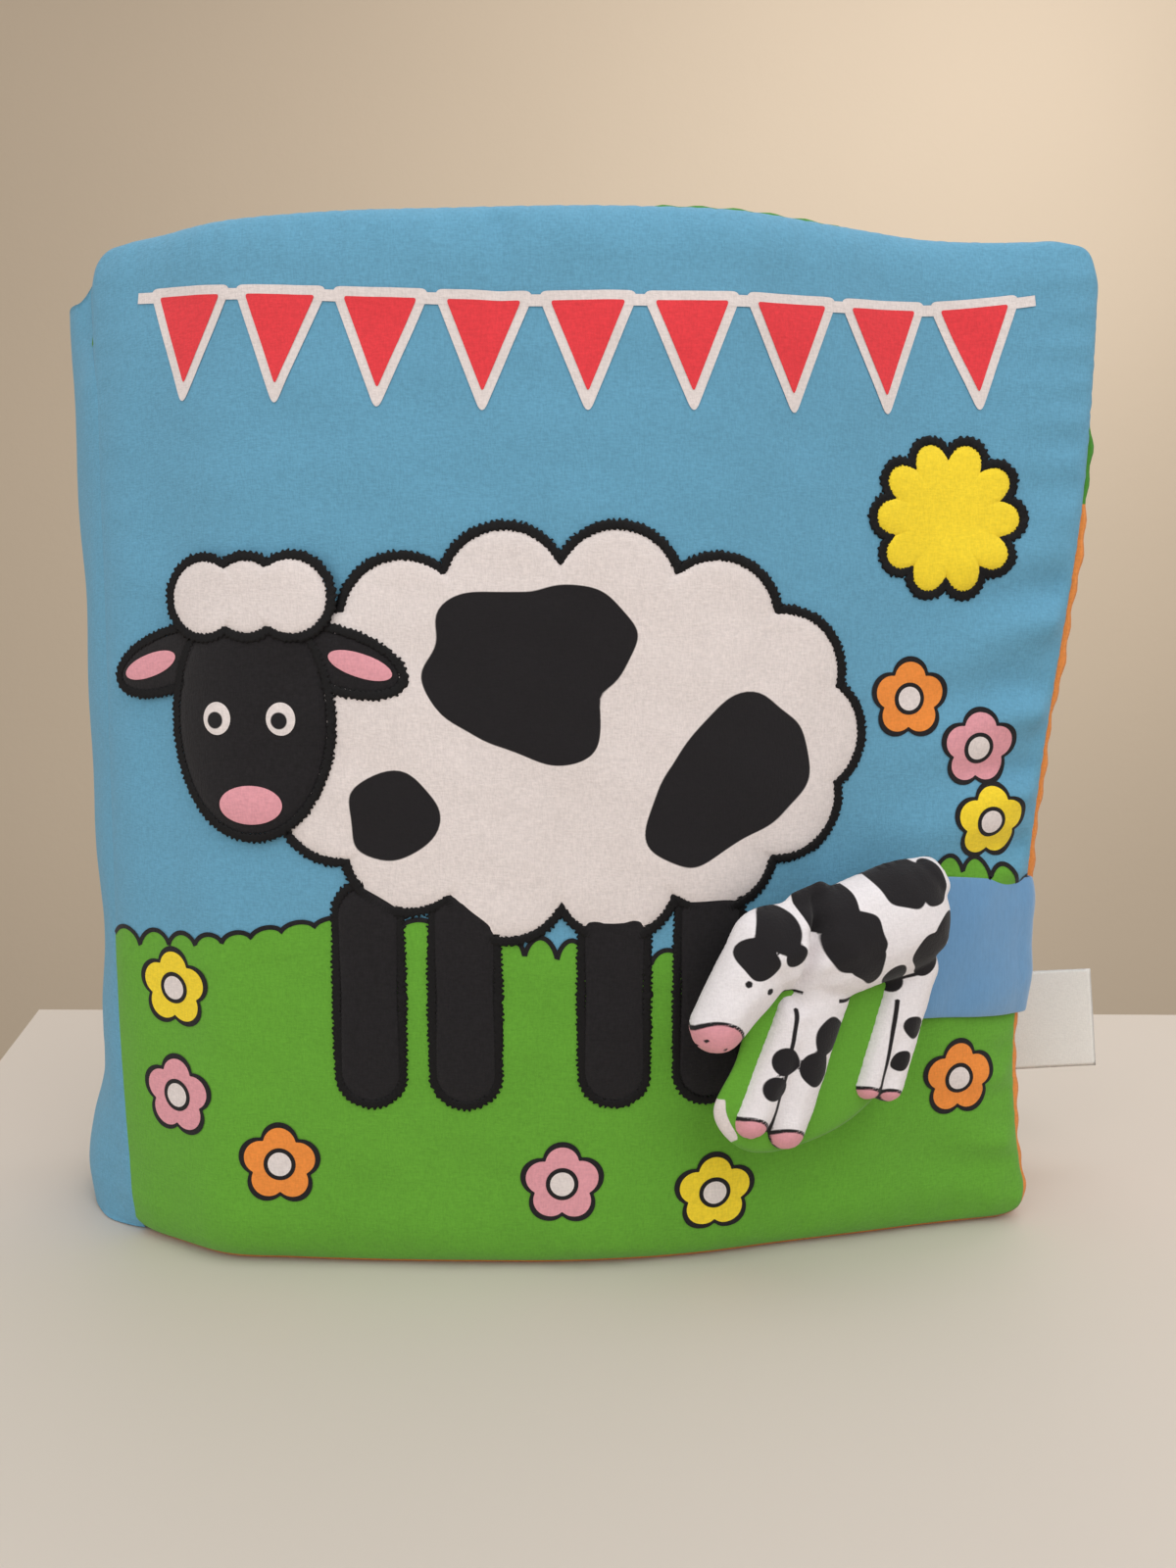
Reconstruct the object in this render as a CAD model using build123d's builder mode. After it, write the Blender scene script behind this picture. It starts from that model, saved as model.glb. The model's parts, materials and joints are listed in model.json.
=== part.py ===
from build123d import *
import os
from math import atan2, cos, degrees, radians, sin

# Padded cloth book, closed and standing on its lower edge. Millimetres, +Z up.
# The front cover faces -Y, the spine is at -X, and Z = 0 is the surface it stands on.

# Leaves
COVER_WIDTH = 237.0
COVER_HEIGHT = 240.0
PAGE_MARGIN = 1.5
BACK_MARGIN = 2.3
LEAF_THICKNESS = 9.0
LINING_THICKNESS = 1.0
LINING_INSET = 0.4
CORNER_RADIUS = 8.0
COVER_ROUND = 5.0
PAGE_ROUND = 3.5
PAGE_COUNT = 3
PITCH_AT_SPINE = 11.5
PITCH_AT_FORE_EDGE = 9.8

# The strap draws the fore-edge in: share of the depth, share of the height
DRAWN_IN = 9.0
DRAW_SHAPE = [(0.28, 0.0), (1.0, 0.075), (1.0, 0.39), (0.0, 0.83), (0.0, 1.0)]
DRAW_BEND = 40.0

# How far the front cover bows forward and the back cover backward, and the bow's course
FRONT_BOW = 25.0
BACK_BOW = -3.0
BOW_SHAPE = [
    (-1.00, 0.00),
    (-0.84, 0.47),
    (-0.66, 0.82),
    (-0.30, 0.98),
    (0.02, 1.00),
    (0.34, 0.80),
    (0.62, 0.32),
    (1.00, 0.04),
]
BOW_BEND = 80.0

# Clearances: between pieces sewn flat together, and between pieces that part
SEWN_GAP = 0.1
SEAT_GAP = 0.3
PATCH_GAP = 0.6

# Spine cloth, and the sewn bundle that gathers the pages behind it
SPINE_BULGE = 16.0
SPINE_CLOTH = 1.2
SPINE_LIFT = 0.6
BUNDLE_WIDTH = 6.0

# Print and sewn-on cloth on the front cover
PRINT_THICKNESS = 0.4
APPLIQUE_THICKNESS = 0.8
STITCH_WIDTH = 2.6
PRINT_INSET = 5.0
THROUGH = 60.0

# Ground: share of the half width, height
GROUND_CREST = [(-1.0, 74), (-0.55, 84), (-0.05, 74), (0.35, 76), (0.7, 92), (1.0, 88)]

# Sewn-on picture of a sheep
SHEEP_X = -6.0
SHEEP_Z = 126.0
FLEECE_LENGTH = 112.0
FLEECE_HEIGHT = 66.0
SCALLOP_RADIUS = 14.0
SCALLOP_COUNT = 14
HEAD_AT = (-70.0, 4.0)
HEAD_WIDTH = 38.0
HEAD_LENGTH = 54.0
EAR_LENGTH = 30.0
EAR_WIDTH = 13.0
CURL_RADIUS = 9.0
LEG_WIDTH = 15.0
LEG_LENGTH = 52.0
LEG_SPOTS = [-44.0, -22.0, 12.0, 34.0]
EYE_RADIUS = 3.0
FLEECE_SPOTS = [
    (-14, 16, 16),
    (4, 22, 12),
    (-2, 4, 11),
    (42, -6, 15),
    (30, -18, 11),
    (-38, -18, 10),
]

# Sun, pennants and flowers; a place is a share of the half width, and a height
SUN_AT = (0.71, 176.0)
SUN_RADIUS = 14.0
SUN_RAY_RADIUS = 4.5
SUN_RAY_COUNT = 10
PENNANT_COUNT = 9
PENNANT_WIDTH = 16.0
PENNANT_DROP = 19.0
PENNANT_BORDER = 2.0
BUNTING_MARGIN = 18.5
BUNTING_DROP = 15.0
BUNTING_SAG = 6.0
PETAL_COUNT = 5
PETAL_RADIUS = 3.6
FLOWER_EYE_RADIUS = 2.8
PINK_FLOWERS = [(-0.83, 40), (-0.05, 22), (0.79, 122)]
ORANGE_FLOWERS = [(-0.61, 26), (0.77, 40), (0.64, 134)]
YELLOW_FLOWERS = [(-0.83, 66), (0.25, 18), (0.79, 104)]

# Closure strap and its hook-and-loop patches
STRAP_WIDTH = 35.0
STRAP_THICKNESS = 1.5
STRAP_LOW = 53.5
STRAP_START = 62.0
STRAP_LIES_TO = 80.0
STRAP_BEND = 6.0
PATCH_THICKNESS = 1.2
PATCH_MARGIN = 3.0

# Label sewn into the back cover
LABEL_HEIGHT = 28.5
LABEL_REACH = 37.0
LABEL_THICKNESS = 0.6
LABEL_LOW = 24.0

# Stuffed calf, measured from its middle along the cover and up
CALF_X = 51.0
CALF_Z = 66.0
CALF_DEPTH = 20.0
CALF_WEB_DEPTH = 3.0
CALF_SPOT_DEPTH = 6.0
CALF_HOOF = 6.0

# Each stuffed form: its two ends, the radius at each, its depth and the roundness of its rims
CALF_BODY = ((2, 14), (21, 17), 12.5, 13.5, 20, 8)
CALF_NECK = ((-6, 14), (-13, 14), 10, 8.5, 17, 6)
CALF_HEAD = ((-14, 13), (-21.5, -1), 8.8, 6.0, 15, 5)
CALF_EAR = ((-7, 23), (-1.5, 27), 3.4, 2.2, 5, 2)
CALF_LEGS = [
    ((-3, 2), (-9.5, -28), 6.5, 4.6, 11, 4),
    ((-8, -2), (-17, -25), 5.5, 4.3, 9.5, 3.5),
    ((24, 8), (17.5, -21), 6.5, 4.0, 10.5, 3.5),
    ((20, 2), (10.5, -19), 5.5, 3.8, 9, 3.2),
]
CALF_MUZZLE = (-23.5, -6.5, 7.5)
CALF_SPOTS = [(-1, 22, 5), (3, 19, 4), (17, 25, 6), (26, 14, 5.5), (11, 8, 5), (-15, 16, 4.5)]
CALF_WEB = [(-14, -27), (14, -21), (20, 2), (-6, 2)]

HALF_WIDTH = COVER_WIDTH / 2
HALF_LEAF = LEAF_THICKNESS / 2
BACK_INDEX = PAGE_COUNT + 1
FORE_EDGE_X = HALF_WIDTH - DRAWN_IN
BACK_EDGE_X = FORE_EDGE_X - BACK_MARGIN
BUNTING_SPAN = COVER_WIDTH - 2 * BUNTING_MARGIN
BUNTING_Z = COVER_HEIGHT - BUNTING_DROP
APPLIQUE_REST = 2 * SEWN_GAP + PRINT_THICKNESS
STRAP_REST = APPLIQUE_REST + APPLIQUE_THICKNESS + 2 * SEWN_GAP
STITCH_HALF = STITCH_WIDTH / 2
CLOTH_INSET = STITCH_HALF + SEWN_GAP


def bow_at(x):
    """Share of the full bow at x, along the straight runs between the shape's points."""
    share = x / HALF_WIDTH
    for (left, low), (right, high) in zip(BOW_SHAPE, BOW_SHAPE[1:]):
        if share <= right:
            return low + (high - low) * (share - left) / (right - left)
    return BOW_SHAPE[-1][1]


def stack_y(index, x):
    """Middle of leaf number index at x, from the front cover's seam at the spine: the pitch narrows
    to the fore-edge, and the bow fades from the front cover to the back one."""
    along = (x + HALF_WIDTH) / COVER_WIDTH
    pitch = PITCH_AT_SPINE + (PITCH_AT_FORE_EDGE - PITCH_AT_SPINE) * along
    bow = FRONT_BOW + (BACK_BOW - FRONT_BOW) * index / BACK_INDEX
    return index * pitch - bow * bow_at(x)


# The frame's origin is under the middle of this page
ORIGIN_PAGE = (PAGE_COUNT + 1) // 2
ORIGIN_SHIFT = stack_y(ORIGIN_PAGE, 0)


def leaf_y(index, x):
    """Middle of leaf number index at x, in the part's frame."""
    return stack_y(index, x) - ORIGIN_SHIFT


def front_y(x):
    """The front cover's face at x."""
    return leaf_y(0, x) - HALF_LEAF


def rim(part, side):
    """The edges round the broad side of a layer that faces -Y (side -1) or +Y (side 1)."""
    edges = part.faces().filter_by(lambda face: face.normal_at().Y * side > 0.5).edges()
    return [edge for edge in edges if sum(edge.is_same(other) for other in edges) == 1]


def leaf_outline(margin, low, corner):
    """A leaf seen from the front: straight but for the fore-edge, which the strap draws in."""
    left = margin - HALF_WIDTH
    fore_edge = [
        (HALF_WIDTH - margin - depth * DRAWN_IN, height * COVER_HEIGHT) for depth, height in DRAW_SHAPE
    ]
    with BuildSketch() as outline:
        with BuildLine():
            edge = FilletPolyline(*fore_edge, radius=DRAW_BEND)
            Polyline(edge @ 1, (left, COVER_HEIGHT), (left, 0), edge @ 0)
        make_face()
        with Locations((0, (low + COVER_HEIGHT - margin) / 2)):
            Rectangle(COVER_WIDTH, COVER_HEIGHT - margin - low, mode=Mode.INTERSECT)
        if corner:
            rows = outline.vertices().group_by(Axis.Y)
            fillet(rows[0] + rows[-1], corner)
    return outline.sketch


def layer(index, margin, front, back, low=0.0, round_near=0.0, round_far=0.0):
    """A bowed layer between two faces measured from a leaf's middle, its corners and rims rounded."""
    xs = [share * HALF_WIDTH for share, _ in BOW_SHAPE]
    has_round_rim = round_near > 0 or round_far > 0
    with BuildPart() as block:
        with BuildSketch(Plane.XY):
            with BuildLine():
                near = FilletPolyline(*[(x, leaf_y(index, x) + front) for x in xs], radius=BOW_BEND)
                far = FilletPolyline(*[(x, leaf_y(index, x) + back) for x in xs], radius=BOW_BEND)
                Line(near @ 0, far @ 0)
                Line(near @ 1, far @ 1)
            make_face()
        extrude(amount=COVER_HEIGHT)
        with BuildSketch(Plane.XZ):
            add(leaf_outline(margin, low, 0 if has_round_rim else CORNER_RADIUS - low))
        extrude(amount=THROUGH, both=True, mode=Mode.INTERSECT)
        if has_round_rim:
            corners = block.edges().filter_by(Axis.Y).group_by(Axis.Z)
            fillet(corners[0] + corners[-1], CORNER_RADIUS)
        if round_near:
            fillet(rim(block.part, -1), round_near)
        if round_far:
            fillet(rim(block.part, 1), round_far)
    return block.part


def places(spots):
    """Places on the cover from shares of the half width and heights."""
    return [(share * HALF_WIDTH, z) for share, z in spots]


def lay_on_cover(outline, sheet):
    """The part of a sheet on the front cover that lies inside the outline."""
    with BuildPart() as piece:
        with BuildSketch(Plane.XZ):
            add(outline)
        extrude(amount=THROUGH, both=True)
        add(sheet, mode=Mode.INTERSECT)
    return piece.part


def save(piece, name):
    """Label a finished piece and write it under the same name."""
    piece.part.label = name
    export_step(piece.part, f"parts/{name}.step")


os.makedirs("parts", exist_ok=True)

# Padded leaves

cloth_back = HALF_LEAF - LINING_THICKNESS - SEWN_GAP
with BuildPart() as front_cover:
    add(layer(0, 0, -HALF_LEAF, cloth_back, round_near=COVER_ROUND))

with BuildPart() as front_cover_lining:
    add(layer(0, LINING_INSET, HALF_LEAF - LINING_THICKNESS, HALF_LEAF))

with BuildPart() as back_cover:
    add(layer(BACK_INDEX, BACK_MARGIN, -cloth_back, HALF_LEAF, round_far=COVER_ROUND))

with BuildPart() as back_cover_lining:
    add(layer(BACK_INDEX, BACK_MARGIN, -HALF_LEAF, LINING_THICKNESS - HALF_LEAF))

# Spine cloth: a round-backed strip from one cover's seam to the other's

spine_x = -HALF_WIDTH - SEAT_GAP
spine_back_x = spine_x - SPINE_BULGE
front_seam_y = leaf_y(0, -HALF_WIDTH)
back_seam_y = leaf_y(BACK_INDEX, -HALF_WIDTH)
spine_middle_y = (front_seam_y + back_seam_y) / 2
with BuildPart() as spine_gusset:
    with BuildSketch(Plane.XY.offset(SPINE_LIFT)):
        with BuildLine():
            outer = ThreePointArc(
                (spine_x, front_seam_y), (spine_back_x, spine_middle_y), (spine_x, back_seam_y)
            )
            inner = ThreePointArc(
                (spine_x, front_seam_y + SPINE_CLOTH),
                (spine_back_x + SPINE_CLOTH, spine_middle_y),
                (spine_x, back_seam_y - SPINE_CLOTH),
            )
            Line(outer @ 0, inner @ 0)
            Line(outer @ 1, inner @ 1)
        make_face()
    extrude(amount=COVER_HEIGHT - 2 * SPINE_LIFT)

# Pages: padded leaves gathered into one sewn bundle that seats against the spine cloth

page_start = PAGE_MARGIN - HALF_WIDTH
bundle_back_x = spine_back_x + SPINE_CLOTH + SEAT_GAP
first_page_y = leaf_y(1, -HALF_WIDTH)
last_page_y = leaf_y(PAGE_COUNT, -HALF_WIDTH)
with BuildPart() as pages:
    for index in range(1, PAGE_COUNT + 1):
        add(
            layer(
                index, PAGE_MARGIN, -HALF_LEAF, HALF_LEAF, round_near=PAGE_ROUND, round_far=PAGE_ROUND
            )
        )
    with BuildSketch(Plane.XY):
        with BuildLine():
            Polyline(
                (bundle_back_x, spine_middle_y - BUNDLE_WIDTH / 2),
                (page_start + PAGE_ROUND, first_page_y),
                (page_start + CORNER_RADIUS, first_page_y),
                (page_start + CORNER_RADIUS, last_page_y),
                (page_start + PAGE_ROUND, last_page_y),
                (bundle_back_x, spine_middle_y + BUNDLE_WIDTH / 2),
                close=True,
            )
        make_face()
    extrude(amount=COVER_HEIGHT - 2 * PAGE_MARGIN)

# The two sheets on the front cover that the print and the sewn-on pictures are cut from

print_near = -HALF_LEAF - SEWN_GAP - PRINT_THICKNESS
applique_near = -HALF_LEAF - APPLIQUE_REST - APPLIQUE_THICKNESS
print_sheet = layer(0, PRINT_INSET, print_near, print_near + PRINT_THICKNESS, low=PRINT_INSET)
applique_sheet = layer(0, PRINT_INSET, applique_near, applique_near + APPLIQUE_THICKNESS, low=PRINT_INSET)


# Outlines of the pictures: each grows or shrinks evenly by grow


def fleece_outline(grow):
    """An oval with round scallops set evenly along its rim."""
    with BuildSketch() as outline:
        with Locations((SHEEP_X, SHEEP_Z)):
            Ellipse(FLEECE_LENGTH / 2 + grow, FLEECE_HEIGHT / 2 + grow)
        for index in range(SCALLOP_COUNT):
            turn = radians(360 * index / SCALLOP_COUNT)
            across = SHEEP_X + FLEECE_LENGTH / 2 * cos(turn)
            up = SHEEP_Z + FLEECE_HEIGHT / 2 * sin(turn)
            with Locations((across, up)):
                Circle(SCALLOP_RADIUS + grow)
    return outline.sketch


def head_outline(grow):
    """A long oval face with two drooping ears."""
    x = SHEEP_X + HEAD_AT[0]
    z = SHEEP_Z + HEAD_AT[1]
    with BuildSketch() as outline:
        with Locations((x, z)):
            Ellipse(HEAD_WIDTH / 2 + grow, HEAD_LENGTH / 2 + grow)
        for side in (-1, 1):
            with Locations((x + side * HEAD_WIDTH * 0.55, z + HEAD_LENGTH * 0.24)):
                Ellipse(EAR_LENGTH / 2 + grow, EAR_WIDTH / 2 + grow, rotation=-18 * side)
    return outline.sketch


def inner_ears_and_nose(grow):
    """The pink linings of the ears and the nose."""
    x = SHEEP_X + HEAD_AT[0]
    z = SHEEP_Z + HEAD_AT[1]
    with BuildSketch() as outline:
        for side in (-1, 1):
            with Locations((x + side * HEAD_WIDTH * 0.68, z + HEAD_LENGTH * 0.22)):
                Ellipse(EAR_LENGTH / 4 + grow, EAR_WIDTH / 5 + grow, rotation=-18 * side)
        with Locations((x, z - HEAD_LENGTH * 0.36)):
            Ellipse(HEAD_WIDTH / 5 + grow, HEAD_LENGTH / 12 + grow)
    return outline.sketch


def eyes_outline(grow):
    """Two round white eyes."""
    with BuildSketch() as outline:
        with Locations((SHEEP_X + HEAD_AT[0], SHEEP_Z + HEAD_AT[1])):
            with GridLocations(HEAD_WIDTH * 0.4, 1, 2, 1):
                Circle(EYE_RADIUS + grow)
    return outline.sketch


def curls_outline(grow):
    """Three curls of wool on top of the head."""
    with BuildSketch() as outline:
        with Locations((SHEEP_X + HEAD_AT[0], SHEEP_Z + HEAD_AT[1] + HEAD_LENGTH / 2)):
            with GridLocations(CURL_RADIUS * 1.2, 1, 3, 1):
                Circle(CURL_RADIUS + grow)
    return outline.sketch


def legs_outline(grow):
    """Four round-ended legs."""
    middle_z = SHEEP_Z - FLEECE_HEIGHT / 2 - LEG_LENGTH / 2
    with BuildSketch() as outline:
        for spot in LEG_SPOTS:
            with Locations((SHEEP_X + spot, middle_z)):
                SlotOverall(LEG_LENGTH + 2 * grow, LEG_WIDTH + 2 * grow, rotation=90)
    return outline.sketch


def spots_outline(grow):
    """Dark patches on the fleece, each a cluster of rounds."""
    with BuildSketch() as outline:
        for across, up, radius in FLEECE_SPOTS:
            with Locations((SHEEP_X + across, SHEEP_Z + up)):
                Circle(radius + grow)
    return outline.sketch


def sun_outline(grow):
    """A disc with short round rays."""
    with BuildSketch() as outline:
        with Locations(*places([SUN_AT])):
            Circle(SUN_RADIUS + grow)
            with PolarLocations(SUN_RADIUS, SUN_RAY_COUNT):
                Circle(SUN_RAY_RADIUS + grow)
    return outline.sketch


def pennants_outline(grow):
    """A row of pennants hung along a slack cord."""
    with BuildLine() as cord:
        ThreePointArc(
            (-BUNTING_SPAN / 2, BUNTING_Z),
            (0, BUNTING_Z - BUNTING_SAG),
            (BUNTING_SPAN / 2, BUNTING_Z),
        )
    with BuildSketch() as outline:
        for index in range(PENNANT_COUNT):
            hang = cord.line @ ((index + 0.5) / PENNANT_COUNT)
            with BuildLine():
                Polyline(
                    (hang.X - PENNANT_WIDTH / 2, hang.Y),
                    (hang.X + PENNANT_WIDTH / 2, hang.Y),
                    (hang.X, hang.Y - PENNANT_DROP),
                    close=True,
                )
            make_face()
        if grow:
            offset(amount=grow)
    return outline.sketch


def bunting_cord():
    """The cord that the pennants hang on."""
    with BuildSketch() as outline:
        with BuildLine():
            ThreePointArc(
                (-BUNTING_SPAN / 2, BUNTING_Z),
                (0, BUNTING_Z - BUNTING_SAG),
                (BUNTING_SPAN / 2, BUNTING_Z),
            )
        trace(line_width=PENNANT_BORDER)
    return outline.sketch


def petals_outline(spots):
    """Rings of round petals with an open middle."""
    with BuildSketch() as outline:
        for spot in places(spots):
            with Locations(spot):
                with PolarLocations(PETAL_RADIUS * 1.4, PETAL_COUNT):
                    Circle(PETAL_RADIUS)
                Circle(FLOWER_EYE_RADIUS + SEWN_GAP, mode=Mode.SUBTRACT)
    return outline.sketch


def ground_outline():
    """Everything below the line of the hills."""
    with BuildSketch() as outline:
        with BuildLine():
            crest = Spline(*[(share * HALF_WIDTH, z) for share, z in GROUND_CREST])
            Polyline(crest @ 0, (-HALF_WIDTH, 0), (HALF_WIDTH, 0), crest @ 1)
        make_face()
    return outline.sketch


def band(outline_of, covers):
    """The stitched rim of an outline, less whatever lies over it."""
    with BuildSketch() as rim:
        add(outline_of(STITCH_HALF))
        add(outline_of(-STITCH_HALF), mode=Mode.SUBTRACT)
        for cover_of in covers:
            add(cover_of(CLOTH_INSET), mode=Mode.SUBTRACT)
    return rim.sketch


# Print

all_flowers = places(PINK_FLOWERS + ORANGE_FLOWERS + YELLOW_FLOWERS)
with BuildSketch() as flower_ground:
    add(ground_outline())
    for spot in all_flowers:
        with Locations(spot):
            Circle(PETAL_RADIUS * 2.4 + SEWN_GAP, mode=Mode.SUBTRACT)

with BuildPart() as ground_print:
    add(lay_on_cover(flower_ground.sketch, print_sheet))

with BuildPart() as pink_flowers:
    add(lay_on_cover(petals_outline(PINK_FLOWERS), print_sheet))

with BuildPart() as orange_flowers:
    add(lay_on_cover(petals_outline(ORANGE_FLOWERS), print_sheet))

with BuildPart() as yellow_flowers:
    add(lay_on_cover(petals_outline(YELLOW_FLOWERS), print_sheet))

with BuildSketch() as flower_eyes_outline:
    for spot in all_flowers:
        with Locations(spot):
            Circle(FLOWER_EYE_RADIUS)

with BuildPart() as flower_eyes:
    add(lay_on_cover(flower_eyes_outline.sketch, print_sheet))

with BuildPart() as red_pennants:
    add(lay_on_cover(pennants_outline(0), print_sheet))

with BuildSketch() as pennant_edges:
    add(pennants_outline(PENNANT_BORDER))
    add(bunting_cord())
    add(pennants_outline(SEWN_GAP), mode=Mode.SUBTRACT)

with BuildPart() as white_borders:
    add(lay_on_cover(pennant_edges.sketch, print_sheet))

# Sewn-on pictures

with BuildSketch() as white_outline:
    add(fleece_outline(-CLOTH_INSET))
    add(head_outline(CLOTH_INSET), mode=Mode.SUBTRACT)
    add(spots_outline(SEWN_GAP), mode=Mode.SUBTRACT)
    add(curls_outline(CLOTH_INSET), mode=Mode.SUBTRACT)
    add(curls_outline(-CLOTH_INSET))
    add(eyes_outline(0))

with BuildPart() as white_cloth:
    add(lay_on_cover(white_outline.sketch, applique_sheet))

with BuildSketch() as dark_outline:
    add(legs_outline(-CLOTH_INSET))
    add(fleece_outline(CLOTH_INSET), mode=Mode.SUBTRACT)
    add(spots_outline(0))
    add(head_outline(CLOTH_INSET), mode=Mode.SUBTRACT)
    add(head_outline(-CLOTH_INSET))
    add(curls_outline(CLOTH_INSET), mode=Mode.SUBTRACT)
    add(inner_ears_and_nose(SEWN_GAP), mode=Mode.SUBTRACT)
    add(eyes_outline(SEWN_GAP), mode=Mode.SUBTRACT)

with BuildPart() as black_cloth:
    add(lay_on_cover(dark_outline.sketch, applique_sheet))

with BuildPart() as pink_cloth:
    add(lay_on_cover(inner_ears_and_nose(0), applique_sheet))

with BuildPart() as yellow_sun:
    add(lay_on_cover(sun_outline(-CLOTH_INSET), applique_sheet))

with BuildSketch() as stitch_outline:
    add(band(curls_outline, []))
    add(band(head_outline, [curls_outline]))
    add(band(fleece_outline, [head_outline, curls_outline]))
    add(band(legs_outline, [fleece_outline, head_outline]))
    add(band(sun_outline, []))

with BuildPart() as satin_stitching:
    add(lay_on_cover(stitch_outline.sketch, applique_sheet))

# Closure strap: from under the calf, across the cover and round the fore-edge to the back cover

strap_middle = STRAP_REST + STRAP_THICKNESS / 2
strap_inner_x = BACK_EDGE_X + 2 * PATCH_THICKNESS + 2 * SEWN_GAP + PATCH_GAP
strap_leg_x = strap_inner_x + STRAP_THICKNESS / 2
back_fore_y = leaf_y(BACK_INDEX, BACK_EDGE_X)
with BuildPart() as closure_strap:
    with BuildSketch(Plane.XY.offset(STRAP_LOW)):
        with BuildLine():
            FilletPolyline(
                (STRAP_START, front_y(STRAP_START) - strap_middle),
                (STRAP_LIES_TO, front_y(STRAP_LIES_TO) - strap_middle),
                (strap_leg_x, front_y(strap_leg_x) - strap_middle),
                (strap_leg_x, back_fore_y + HALF_LEAF),
                radius=STRAP_BEND,
            )
        trace(line_width=STRAP_THICKNESS)
    extrude(amount=STRAP_WIDTH)

patch_middle_z = STRAP_LOW + STRAP_WIDTH / 2
patch_depth = LEAF_THICKNESS - 2 * SEWN_GAP
patch_height = STRAP_WIDTH - 2 * PATCH_MARGIN
loop_x = BACK_EDGE_X + SEWN_GAP + PATCH_THICKNESS / 2
hook_x = strap_inner_x - SEWN_GAP - PATCH_THICKNESS / 2
with BuildPart() as loop_patch:
    with Locations((loop_x, back_fore_y, patch_middle_z)):
        Box(PATCH_THICKNESS, patch_depth, patch_height)

with BuildPart() as hook_patch:
    with Locations((hook_x, back_fore_y, patch_middle_z)):
        Box(PATCH_THICKNESS, patch_depth, patch_height)

# Label

with BuildPart() as label:
    with Locations((BACK_EDGE_X + SEWN_GAP, back_fore_y, LABEL_LOW)):
        Box(LABEL_REACH, LABEL_THICKNESS, LABEL_HEIGHT, align=(Align.MIN, Align.CENTER, Align.MIN))

# Stuffed calf, its back parallel to the bowed cover behind it

calf_reach = CALF_DEPTH
calf_slope = (front_y(CALF_X + calf_reach) - front_y(CALF_X - calf_reach)) / (2 * calf_reach)
strap_face_y = front_y(STRAP_START) - STRAP_REST - STRAP_THICKNESS
calf_back_y = strap_face_y - PATCH_GAP - calf_slope * (STRAP_START - CALF_X)
calf_plane = Plane(
    origin=(CALF_X, calf_back_y, CALF_Z), x_dir=(1, calf_slope, 0), z_dir=(calf_slope, -1, 0)
)


def stuffed(start, end, start_radius, end_radius, depth, roundness):
    """A padded bar with round ends, raised about the calf's mid-depth, both rims rounded."""
    with BuildPart() as form:
        with BuildSketch(calf_plane.offset((CALF_DEPTH - depth) / 2)):
            with Locations(start):
                Circle(start_radius)
            with Locations(end):
                Circle(end_radius)
            make_hull()
        extrude(amount=depth)
        sides = form.faces().filter_by(Axis((0, 0, 0), calf_plane.z_dir))
        fillet(sides.edges(), roundness)
    return form.part


with BuildPart() as calf_form:
    for form in [CALF_BODY, CALF_NECK, CALF_HEAD, CALF_EAR, *CALF_LEGS]:
        add(stuffed(*form))

muzzle_x, muzzle_z, muzzle_radius = CALF_MUZZLE
with BuildSketch() as calf_pink_outline:
    with Locations((muzzle_x, muzzle_z)):
        Circle(muzzle_radius)
    for hip, foot, _, foot_radius, _, _ in CALF_LEGS:
        turn = atan2(hip[1] - foot[1], hip[0] - foot[0])
        reach = foot_radius - CALF_HOOF / 2
        with Locations((foot[0] - reach * cos(turn), foot[1] - reach * sin(turn))):
            Rectangle(CALF_HOOF, 2 * foot_radius + CALF_HOOF, rotation=degrees(turn))

with BuildSketch() as calf_spots_outline:
    for across, up, radius in CALF_SPOTS:
        with Locations((across, up)):
            Circle(radius)

with BuildPart() as calf_pink:
    with BuildSketch(calf_plane):
        add(calf_pink_outline.sketch)
    extrude(amount=CALF_DEPTH)
    add(calf_form.part, mode=Mode.INTERSECT)

with BuildPart() as calf_spots:
    with BuildSketch(calf_plane.offset(CALF_DEPTH - CALF_SPOT_DEPTH)):
        add(calf_spots_outline.sketch)
    extrude(amount=CALF_SPOT_DEPTH)
    add(calf_form.part, mode=Mode.INTERSECT)
    add(calf_pink.part, mode=Mode.SUBTRACT)

with BuildPart() as calf:
    add(calf_form.part)
    add(calf_pink.part, mode=Mode.SUBTRACT)
    add(calf_spots.part, mode=Mode.SUBTRACT)

with BuildPart() as calf_web:
    with BuildSketch(calf_plane.offset((CALF_DEPTH - CALF_WEB_DEPTH) / 2)):
        with BuildLine():
            Polyline(*CALF_WEB, close=True)
        make_face()
    extrude(amount=CALF_WEB_DEPTH)
    add(calf_form.part, mode=Mode.SUBTRACT)

pieces = {
    "front_cover": front_cover,
    "front_cover_lining": front_cover_lining,
    "ground_print": ground_print,
    "pink_flowers": pink_flowers,
    "orange_flowers": orange_flowers,
    "yellow_flowers": yellow_flowers,
    "flower_eyes": flower_eyes,
    "red_pennants": red_pennants,
    "white_borders": white_borders,
    "white_cloth": white_cloth,
    "black_cloth": black_cloth,
    "pink_cloth": pink_cloth,
    "yellow_sun": yellow_sun,
    "satin_stitching": satin_stitching,
    "closure_strap": closure_strap,
    "hook_patch": hook_patch,
    "calf": calf,
    "calf_pink": calf_pink,
    "calf_spots": calf_spots,
    "calf_web": calf_web,
    "spine_gusset": spine_gusset,
    "pages": pages,
    "back_cover": back_cover,
    "back_cover_lining": back_cover_lining,
    "loop_patch": loop_patch,
    "label": label,
}
for name, piece in pieces.items():
    save(piece, name)

print("hinge lines, x and y:", (-HALF_WIDTH, front_seam_y), (-HALF_WIDTH, back_seam_y))
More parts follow.
